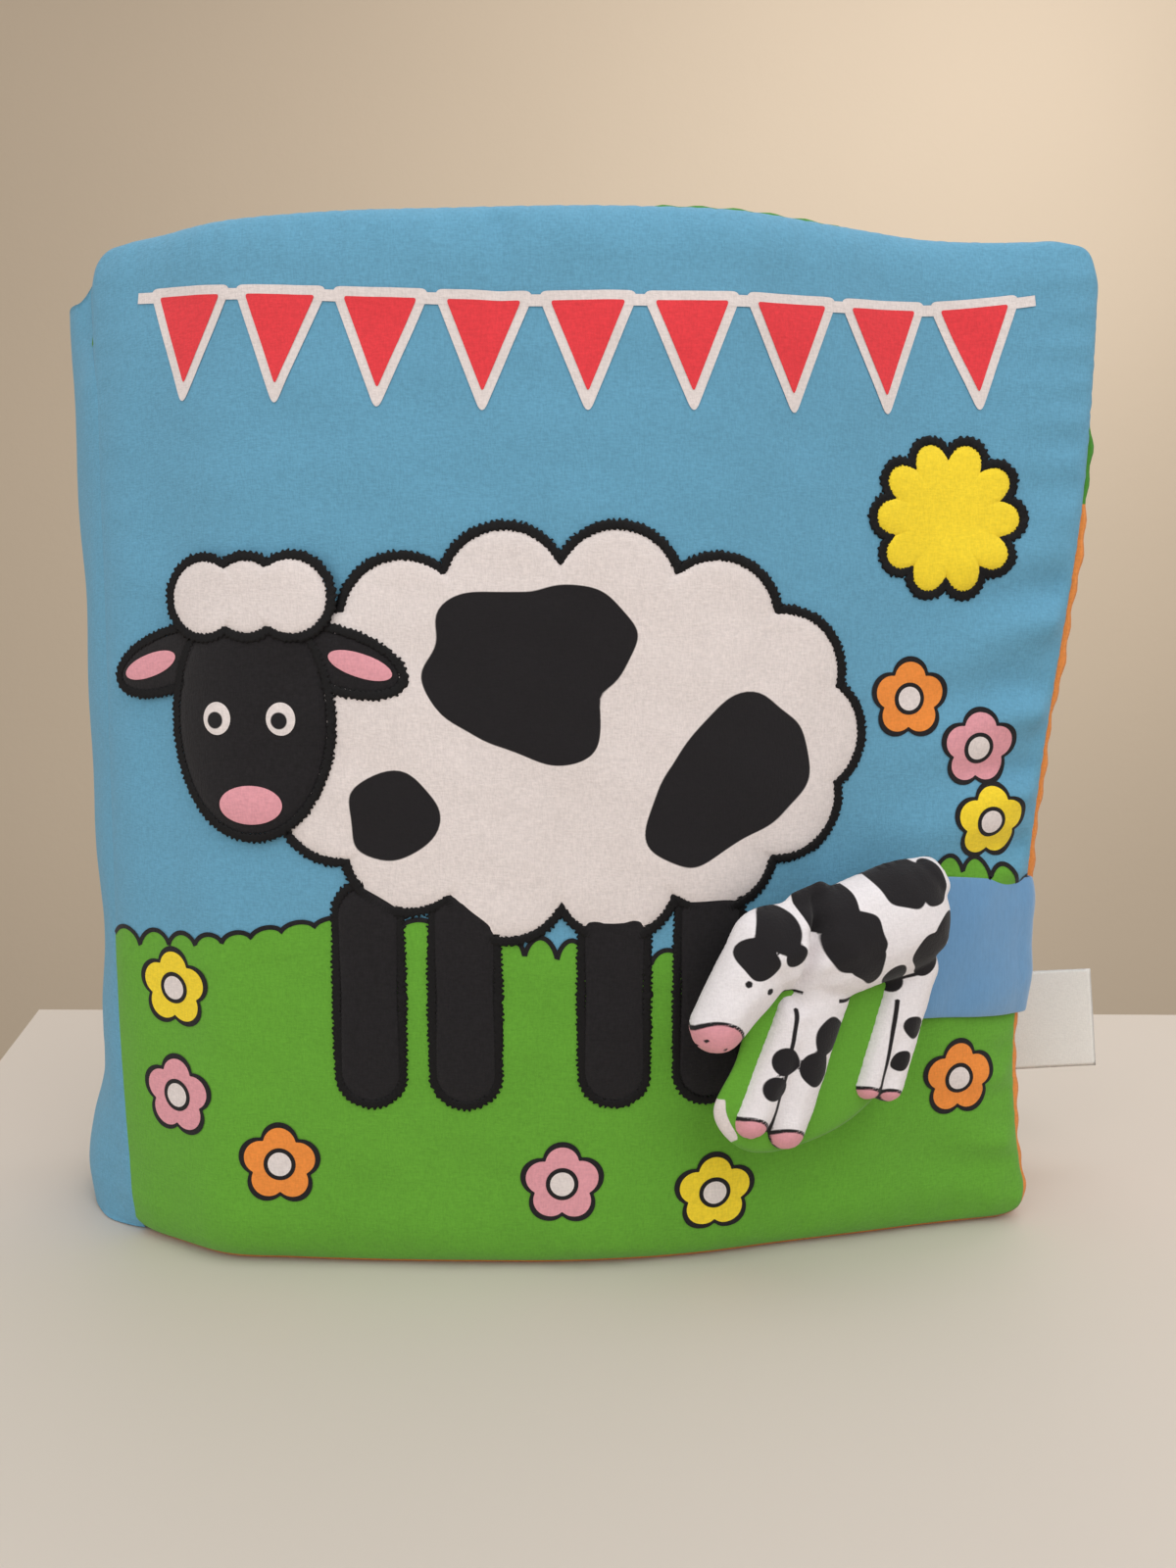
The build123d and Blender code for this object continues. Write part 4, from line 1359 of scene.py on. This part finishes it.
class BuildPrints(bpy.types.Operator):
    """Printed flowers, pennants, grass and the black lines round them"""

    bl_idname = "cloth_book.prints"
    bl_label = "Prints"

    def execute(self, context):
        shade = colours()
        kinds = (
            ("pink_flowers", PINK_FLOWERS, shade.pink, "pink_cotton"),
            ("orange_flowers", ORANGE_FLOWERS, shade.orange, "orange_print"),
            ("yellow_flowers", YELLOW_FLOWERS, shade.yellow, "yellow_cotton"),
        )
        lines = []
        eyes = []
        eye_rims = []
        eye = 2 * FLOWER_EYE
        for node, spots, tint, slot in kinds:
            parts = [printed(flower_loop(spot, FLOWER_RADIUS), "flower") for spot in spots]
            lines += [printed(flower_loop(spot, FLOWER_RADIUS + 1.3), "rim") for spot in spots]
            eyes += [printed(oval_loop(spot, (eye, eye), count=60), "flower eye", 4) for spot in spots]
            eye_rims += [
                printed(oval_loop(spot, (eye + 2, eye + 2), count=60), "flower eye rim", 4) for spot in spots
            ]
            self.print_on(f"{node}_print", parts, node, slot, cloth(f"{node} print", tint, tone=0.1))
        finish = cloth("flower eye print", shade.white, tone=0.1)
        self.print_on("flower_eyes_print", eyes, "flower_eyes", "white_cotton", finish)
        x = np.linspace(LEFT + 1.5, RIGHT - 7, 1400)
        top = np.stack([x, grass_top(x)], axis=-1)
        lines += eye_rims + [flat_band(top, LIFTS["ground line"], OUTLINE_WIDTH)]
        outline = joined_piece("outline_print", lines)
        paint(outline, cloth("outline print", shade.black, tone=0.2))
        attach(outline, "front_board")
        self.grass(shade, x)
        self.pennants(shade)
        return {"FINISHED"}

    def grass(self, shade, x):
        """The tufted edge of the ground, down to where the cover's own dye carries on."""
        share = np.linspace(0, 1, 12)[:, None]
        top = grass_top(x)[None]
        z = top + (curve(GROUND_LINE, x)[None] - 10 - top) * share
        across = np.broadcast_to(x, z.shape)
        lift = 0.14 - 0.5 * smooth_step(0.55, 1, share)
        points = np.stack([across, cover_front_y(across, z) - lift, z], axis=-1)
        piece = new_piece("grass_print", points.reshape(-1, 3), quads(np.arange(z.size).reshape(z.shape)))
        paint(piece, cloth("grass print", shade.ground))
        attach(piece, "front_board")

    def pennants(self, shade):
        """Pennants hung along a slack line, each on a larger white one."""
        span, top, sag = BUNTING
        red = []
        white = []
        for t in (np.arange(PENNANTS) + 0.5) / PENNANTS * 2 - 1:
            place = (t * span / 2, top - sag * (1 - t * t), 4 * sag * t / span)
            red.append(printed(self.pennant(place, 0), "pennant"))
            white.append(printed(self.pennant(place, PENNANT_BORDER), "rim"))
        line_x = np.linspace(-span / 2 - 3, span / 2 + 3, 160)
        line_z = top - sag * (1 - (2 * line_x / span) ** 2)
        white.append(flat_band(np.stack([line_x, line_z], axis=-1), LIFTS["pennant line"], 2.4))
        finish = cloth("red print", shade.red, tone=0.1)
        self.print_on("red_pennants_print", red, "red_pennants", "red_print", finish)
        finish = cloth("border print", shade.white, tone=0.1)
        self.print_on("white_borders_print", white, "white_borders", "white_cotton", finish)

    def pennant(self, place, grow):
        """Outline of a pennant that hangs square to the line: a triangle grown evenly about the
        middle of its inscribed circle, its corners cut round by quadratic Bezier curves."""
        width, drop = PENNANT_SIZE
        x, z, slope = place
        corners = np.array([[-width / 2, 0], [0, -drop], [width / 2, 0]])
        sides = np.linalg.norm(np.roll(corners, -1, axis=0) - np.roll(corners, 1, axis=0), axis=1)
        middle = (corners * sides[:, None]).sum(axis=0) / sides.sum()
        inner_radius = width * drop / sides.sum()
        corners = middle + (corners - middle) * (1 + grow / inner_radius)
        corners = corners @ np.array([[1, slope], [-slope, 1]])
        loop = []
        cut = 0.05 + 0.03 * grow
        for number, corner in enumerate(corners):
            before = corners[number - 1]
            after = corners[(number + 1) % 3]
            start = corner + (before - corner) * cut
            end = corner + (after - corner) * cut
            t = np.linspace(0, 1, 8)[:, None]
            loop.append((1 - t) ** 2 * start + 2 * t * (1 - t) * corner + t**2 * end)
            t = np.linspace(0, 1, 18)[1:-1, None]
            loop.append(end + (after + (corner - after) * cut - end) * t)
        return np.concatenate(loop) + np.array([x, z])

    def print_on(self, name, parts, node, slot, finish):
        """One print on the front cover."""
        stand_for(paint(joined_piece(name, parts), finish), node)


class BuildStrap(bpy.types.Operator):
    """Knitted strap round the fore-edge, with its hook and loop patches"""

    bl_idname = "cloth_book.strap"
    bl_label = "Strap"

    def execute(self, context):
        shade = colours()
        strap = self.ribbon()
        paint(strap, knit("strap jersey", shade.strap))
        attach(strap, "front_board")
        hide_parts("closure_strap")
        declare_strip(strap)
        for name, node, board, low, high in (
            ("hook_tape", "hook_patch", "front_board", HOOK_LOW, HOOK_HIGH),
            ("loop_tape", "loop_patch", "back_board", LOOP_LOW, LOOP_HIGH),
        ):
            tape = self.tape(name, low, high)
            paint(tape, knit(f"{name} pile", (0.72, 0.78, 0.84)))
            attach(tape, board)
            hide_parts(node)
        return {"FINISHED"}

    def ribbon(self):
        """A closed band carried along a plan path: over the cover, round the fore-edge and back.
        Its section is a flat oval, drawn in at the edges and tilted a little down to the right."""
        low = STRAP_LOW[2]
        high = STRAP_HIGH[2]
        middle = (low + high) / 2
        start = STRAP_LOW[0] + 8
        end_x = STRAP_HIGH[0] - 0.8
        edge_x = float(fore_edge_x(middle))
        path = [(x, float(cover_front_y(x, middle)) - 2.4) for x in np.linspace(start, edge_x - 4, 5)]
        fold_y = float(cover_seam_y(np.array(edge_x), middle))
        path += [(edge_x + 1.2, fold_y - 3), (end_x - 0.4, fold_y + 3)]
        path += [(end_x, fold_y + 12), (end_x, HOOK_LOW[1] - 2), (end_x, STRAP_HIGH[1] - 0.5)]
        path = np.array(path)
        length = lengths_along(path)
        at = np.linspace(0, length[-1], 130)
        plan = plane_curve(length, path, at)
        aside = turned_right(unit_rows(np.gradient(plan, axis=0)))
        turn = round_loop(44)
        half = (high - low) / 2
        up = half * np.sign(np.sin(turn)) * abs(np.sin(turn)) ** 0.5
        out = STRAP_HALF * np.sign(np.cos(turn)) * abs(np.cos(turn)) ** 0.5
        ramp = 1 - smooth_step(0, 50, at)
        z = middle + up[None] + STRAP_RISE * ramp[:, None]
        folds = STRAP_FOLDS * ripples(at[:, None], up[None], SEEDS["strap"], 16)
        cup = -STRAP_CUP * (up[None] / half) ** 4
        thick = (out[None] + folds + cup)[..., None]
        flat = plan[:, None] + aside[:, None] * thick
        points = np.stack([flat[..., 0], flat[..., 1], z], axis=-1)
        index = np.arange(points[..., 0].size).reshape(points.shape[:2])
        faces = quads(wrapped(index)).tolist()
        count = len(turn)
        for cap in (index[0].tolist(), index[-1][::-1].tolist()):
            for step in range(count // 2 - 1):
                faces.append([cap[step], cap[step + 1], cap[count - 2 - step], cap[count - 1 - step]])
        return new_piece("strap_band", points.reshape(-1, 3), faces)

    def tape(self, name, low, high):
        """A thin pad with soft edges that fills its node's box."""
        middle = (low + high) / 2
        half = (high - low) / 2
        u, v = np.meshgrid(np.linspace(-1, 1, 24), np.linspace(-1, 1, 48), indexing="ij")
        rim = (1 - abs(u) ** 8) ** 0.5 * (1 - abs(v) ** 12) ** 0.5
        y = middle[1] + half[1] * u
        z = middle[2] + half[2] * v
        front = np.stack([middle[0] - half[0] * rim, y, z], axis=-1)
        back = np.stack([middle[0] + half[0] * rim, y, z], axis=-1)
        vertices, faces = closed_leaf(front, back)
        return new_piece(name, vertices, faces[:, ::-1])


def capsule(u, v, start, end, start_radius, end_radius):
    """Signed distance to a bar with round ends of two radii: the distance to its line less the
    radius there."""
    line = np.array(end, float) - np.array(start, float)
    share = ((u - start[0]) * line[0] + (v - start[1]) * line[1]) / (line @ line)
    share = np.clip(share, 0, 1)
    away = np.hypot(u - start[0] - share * line[0], v - start[1] - share * line[1])
    return away - (start_radius + (end_radius - start_radius) * share)


def smooth_loop(corners):
    """A closed smooth curve through its corners."""
    ring = np.array([corners[-1], *corners, *corners[:2]], float)
    steps = np.arange(len(ring))
    at = 1 + np.linspace(0, len(corners), 180, endpoint=False)
    return plane_curve(steps, ring, at)


def smooth_min(values, soft):
    """The least of several fields, rounded where two meet."""
    stack = np.stack(values)
    return -soft * np.log(np.exp(-stack / soft).sum(axis=0))


def calf_point(u, v, out):
    """A point of the calf in the part's frame: u along the cover's slope, v up, out from its back."""
    turn = math.atan(CALF_SLOPE)
    base = float(cover_seam_y(CALF_MIDDLE[0], CALF_MIDDLE[1])) - COVER_RISE - CALF_LIFT
    x = CALF_MIDDLE[0] + u * math.cos(turn) + out * math.sin(turn)
    y = base + u * math.sin(turn) - out * math.cos(turn)
    return np.stack([x, y, CALF_MIDDLE[1] + v], axis=-1)


class BuildCalf(bpy.types.Operator):
    """Stuffed calf of printed cotton and the cloth web between its legs"""

    bl_idname = "cloth_book.calf"
    bl_label = "Calf"

    def execute(self, context):
        shade = colours()
        step = CALF_STEP
        u, v = np.meshgrid(np.arange(-34, 42, step), np.arange(-38, 36, step), indexing="ij")
        fields = {key: capsule(u, v, *shape) for key, (shape, _) in CALF_PARTS.items()}
        whole = smooth_min(list(fields.values()), 0.9)
        slope_u, slope_v = np.gradient(whole, step)
        keep = whole < step * 0.9
        rim = whole > -step * 0.45
        shift = np.where(rim, whole, 0) / np.maximum(np.hypot(slope_u, slope_v), 0.3) ** 2
        u = u - shift * slope_u
        v = v - shift * slope_v
        thick = self.thickness(u, v) * ~rim
        beside = capsule(u, v, *CALF_TUCK, 0, 0)
        height, lean, pitch, reach = NECK_GATHERS
        gathers = np.sin(2 * math.pi * (v - lean * u) / pitch) * np.exp(-beside / reach)
        thick = thick + height * gathers * (thick > 2)
        share, half = NECK_TUCK
        tuck = share * np.exp(-((beside / half) ** 2))
        thick = thick * (1 - tuck) + 0.22 * ripples(u, v, SEEDS["calf"], 9) * (thick > 2)
        index = -np.ones(u.shape, int)
        index[keep] = np.arange(keep.sum())
        corners = quads(index)
        corners = corners[(corners >= 0).all(axis=1)]
        front = calf_point(u, v, CALF_DEPTH + thick)[keep]
        back = calf_point(u, v, CALF_DEPTH - np.minimum(thick, CALF_DEPTH - 0.6))[keep]
        faces = np.concatenate([corners, corners[:, ::-1] + len(front)])
        masks = self.masks(u[keep], v[keep], {key: field[keep] for key, field in fields.items()})
        masks = {key: np.concatenate([value, value]) for key, value in masks.items()}
        calf = new_piece("calf_toy", np.concatenate([front, back]), faces, masks)
        weld(calf, 0.02 * MM)
        finish = cloth(
            "calf cotton",
            (0.93, 0.91, 0.92),
            [("pink", shade.pink), ("black", shade.black), ("line", shade.black)],
            pitch=0.35,
            tone=0.07,
        )
        paint(calf, finish)
        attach(calf, "front_board")
        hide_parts("calf", "calf_pink", "calf_spots")
        self.web(shade)
        return {"FINISHED"}

    def thickness(self, u, v):
        """Half the stuffing's depth: each bar's own quarter round, the largest of them taken, and
        each value averaged twice with its four neighbours."""
        thick = np.zeros_like(u)
        for shape, rise in CALF_PARTS.values():
            inset = np.clip(-capsule(u, v, *shape), 0, None)
            thick = np.maximum(thick, rise * rim_height(inset, max(shape[2], shape[3])))
        for _ in range(2):
            around = np.roll(thick, 1, 0) + np.roll(thick, -1, 0)
            thick = (thick + (around + np.roll(thick, 1, 1) + np.roll(thick, -1, 1))) / 5
        return thick

    def masks(self, u, v, fields):
        """Print on the calf: black patches, pink muzzle and hooves, and thin black outlines."""
        points = np.stack([u, np.zeros_like(u), v], axis=-1)
        black = spot_field(points, CALF_BLACK) + 0.9 * ripples(u, v, SEEDS["calf"] + 1, 8)
        pink = spot_field(points, CALF_PINK)
        eyes = spot_field(points, CALF_EYES)
        black = np.where(pink > -0.6, -1, black)
        leg = np.minimum(fields["front_leg"], fields["rear_leg"])
        trunk = np.minimum(fields["body"], fields["rump"])
        line = np.where((v < 1) & (trunk > -1), 0.5 - abs(leg), -1)
        belly = np.where((u > 0) & (u < 22) & (v < 8), 0.45 - abs(trunk + 0.3), -1)
        jaw = np.minimum(fields["head"], fields["neck"])
        line = np.maximum(line, np.where((u > -17) & (u < -7) & (v > -4) & (v < 6), 0.4 - abs(jaw), -1))
        line = np.maximum(np.maximum(line, belly), 0.4 - abs(pink))
        return {"black": black, "pink": pink, "line": np.maximum(line, eyes)}

    def web(self, shade):
        """The green pad that joins the legs, its seam drawn in between them."""
        loop = smooth_loop(CALF_WEB)
        middle = loop.mean(axis=0)
        share = np.linspace(1, 0, 14) ** 0.7
        flat = middle + (loop - middle)[None] * share[:-1, None, None]
        reach = np.linalg.norm(loop - middle, axis=1)[None]
        rise = 0.3 + 1.5 * rim_height((1 - share[:-1, None]) * reach, 8)
        sides = []
        for side in (1, -1):
            rings = calf_point(flat[..., 0], flat[..., 1], WEB_DEPTH + side * rise).reshape(-1, 3)
            hub = calf_point(middle[:1], middle[1:], np.array([WEB_DEPTH + side * WEB_CROWN]))
            sides.append(np.concatenate([rings, hub]))
        count = len(loop)
        index = np.arange(13 * count).reshape(13, count)
        near = quads(wrapped(index))[:, ::-1].tolist() + fan(index[-1], 13 * count)
        start = len(sides[0])
        far = [[corner + start for corner in face[::-1]] for face in near]
        edge = index[0].tolist()
        wall = [[a, b, b + start, a + start] for a, b in zip(edge[1:] + edge[:1], edge)]
        outline = np.concatenate([flat.reshape(-1, 2), middle[None]])
        hem = 5.5 - np.hypot(outline[:, 0] + 25.5, outline[:, 1] + 25)
        hem = np.where(np.append(np.repeat(share[:-1], count), 0) > 0.93, hem, -1)
        piece = new_piece("leg_web", np.concatenate(sides), near + far + wall, {"hem": np.tile(hem, 2)})
        paint(piece, cloth("web cotton", shade.ground, [("hem", shade.white)], pitch=0.35, tone=0.08))
        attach(piece, "front_board")
        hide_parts("calf_web")


def weld(piece, distance):
    """Merge vertices that coincide, such as a shell's two rims."""
    modifier = piece.modifiers.new("weld", "WELD")
    modifier.merge_threshold = distance
    bpy.context.view_layer.update()
    ready = piece.evaluated_get(bpy.context.evaluated_depsgraph_get())
    mesh = bpy.data.meshes.new_from_object(ready)
    piece.modifiers.clear()
    piece.data = mesh


class BuildLabel(bpy.types.Operator):
    """Blank white satin label at the back cover's fore-edge"""

    bl_idname = "cloth_book.label"
    bl_label = "Label"

    def execute(self, context):
        length = LABEL_HIGH[0] - LABEL_LOW[0]
        height = LABEL_HIGH[2] - LABEL_LOW[2]
        s, t = np.meshgrid(np.linspace(0, 1, 40), np.linspace(0, 1, 30), indexing="ij")
        x = LABEL_LOW[0] + length * s - LABEL_LEAN * (t - 0.5) * s
        y = (LABEL_LOW[1] + LABEL_HIGH[1]) / 2 - LABEL_CURL * s**2
        y = y + LABEL_TWIST * np.sin(3.6 * s) * (t - 0.5)
        z = LABEL_LOW[2] + height * t + LABEL_LIFT * s + 0.5 * np.sin(math.pi * t) * s
        rim = np.minimum(1, 12 * np.minimum(np.minimum(s, 1 - s), np.minimum(t, 1 - t)))
        front = np.stack([x, y - LABEL_HALF - LABEL_HALF * rim, z], axis=-1)
        back = np.stack([x, y + LABEL_HALF * rim, z], axis=-1)
        vertices, faces = closed_leaf(front, back)
        label = new_piece("satin_label", vertices, faces)
        satin = {"roughness": 0.45, "sheen": 0.1, "pitch": 0.3, "bump": 0.2, "tone": 0.05}
        paint(label, cloth("label satin", (0.95, 0.94, 0.92), **satin))
        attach(label, "back_board")
        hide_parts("label")
        return {"FINISHED"}


class BuildStage(bpy.types.Operator):
    """Pale table, backdrop, soft lights and the camera"""

    bl_idname = "cloth_book.stage"
    bl_label = "Stage"

    def execute(self, context):
        table = new_piece("table", TABLE_OUTLINE, [list(range(6))])
        paint(table, self.matt("table paint", (0.86, 0.82, 0.78), 0.03))
        wall = new_piece("wall", WALL_OUTLINE, [[0, 1, 2, 3]])
        paint(wall, self.matt("wall paint", (0.88, 0.80, 0.70), 0.35))
        for name, (place, target, width, watts) in LAMPS.items():
            self.lamp(name, place, target, width, watts)
        world = bpy.context.scene.world or bpy.data.worlds.new("world")
        bpy.context.scene.world = world
        world.use_nodes = True
        world.node_tree.nodes["Background"].inputs["Color"].default_value = WORLD_COLOUR
        world.node_tree.nodes["Background"].inputs["Strength"].default_value = WORLD_STRENGTH
        camera = bpy.data.cameras.new("camera")
        camera.lens = CAMERA_LENS
        camera.sensor_width = SENSOR_WIDTH
        camera.clip_start = 0.01
        holder = bpy.data.objects.new("camera", camera)
        holder.location = (0, (FRONT_SEAM[1] - CAMERA_AWAY) * MM, CAMERA_HEIGHT * MM)
        holder.rotation_euler = (math.radians(CAMERA_TILT), 0, 0)
        bpy.context.scene.collection.objects.link(holder)
        bpy.context.scene.camera = holder
        bpy.context.scene.view_settings.view_transform = "Standard"
        return {"FINISHED"}

    def matt(self, name, colour, grain_depth):
        """Plain paint with a slow unevenness in its colour and a fine one in its surface."""
        shader = Shader(name)
        drift = shader.noise((3, 3, 3), 2.0, 0.5)
        tint = shader.blend(drift, tuple(c * 0.97 for c in colour), colour)
        shader.link(tint, shader.surface.inputs["Base Color"])
        grain = shader.noise((70, 70, 70), 4.0, 0.6)
        return shader.finished(grain, grain_depth, 1.0, {"Roughness": 0.6})

    def lamp(self, name, place, target, width, watts):
        """A square soft light that looks at a target."""
        light = bpy.data.lights.new(name, "AREA")
        light.size = width * MM
        light.energy = watts
        holder = bpy.data.objects.new(name, light)
        place = np.array(place, float)
        away = place - np.array(target, float)
        away /= np.linalg.norm(away)
        holder.location = tuple(place * MM)
        holder.rotation_euler = (math.acos(away[2]), 0, math.atan2(away[0], -away[1]))
        bpy.context.scene.collection.objects.link(holder)


STEPS = (
    BuildFrontCover,
    BuildBackCover,
    BuildPages,
    BuildSpine,
    BuildPictures,
    BuildStitching,
    BuildPrints,
    BuildStrap,
    BuildCalf,
    BuildLabel,
    BuildStage,
)


class ClothBookPanel(bpy.types.Panel):
    """Lists the steps that build the book"""

    bl_idname = "VIEW3D_PT_cloth_book"
    bl_label = "Cloth Book"
    bl_space_type = "VIEW_3D"
    bl_region_type = "UI"
    bl_category = "Cloth Book"

    def draw(self, context):
        for step in STEPS:
            self.layout.operator(step.bl_idname)


def register():
    """Makes the settings, the steps and the panel known."""
    bpy.utils.register_class(ClothBookColours)
    bpy.utils.register_class(ClothBookSizes)
    bpy.types.Scene.cloth_book_colours = bpy.props.PointerProperty(type=ClothBookColours)
    bpy.types.Scene.cloth_book_sizes = bpy.props.PointerProperty(type=ClothBookSizes)
    for step in STEPS:
        bpy.utils.register_class(step)
    bpy.utils.register_class(ClothBookPanel)


def unregister():
    """Takes back what register made known."""
    bpy.utils.unregister_class(ClothBookPanel)
    for step in reversed(STEPS):
        bpy.utils.unregister_class(step)
    del bpy.types.Scene.cloth_book_sizes
    del bpy.types.Scene.cloth_book_colours
    bpy.utils.unregister_class(ClothBookSizes)
    bpy.utils.unregister_class(ClothBookColours)


def main():
    """Builds every piece in order."""
    register()
    for step in STEPS:
        group, name = step.bl_idname.split(".")
        getattr(getattr(bpy.ops, group), name)()


if __name__ == "__main__":
    main()
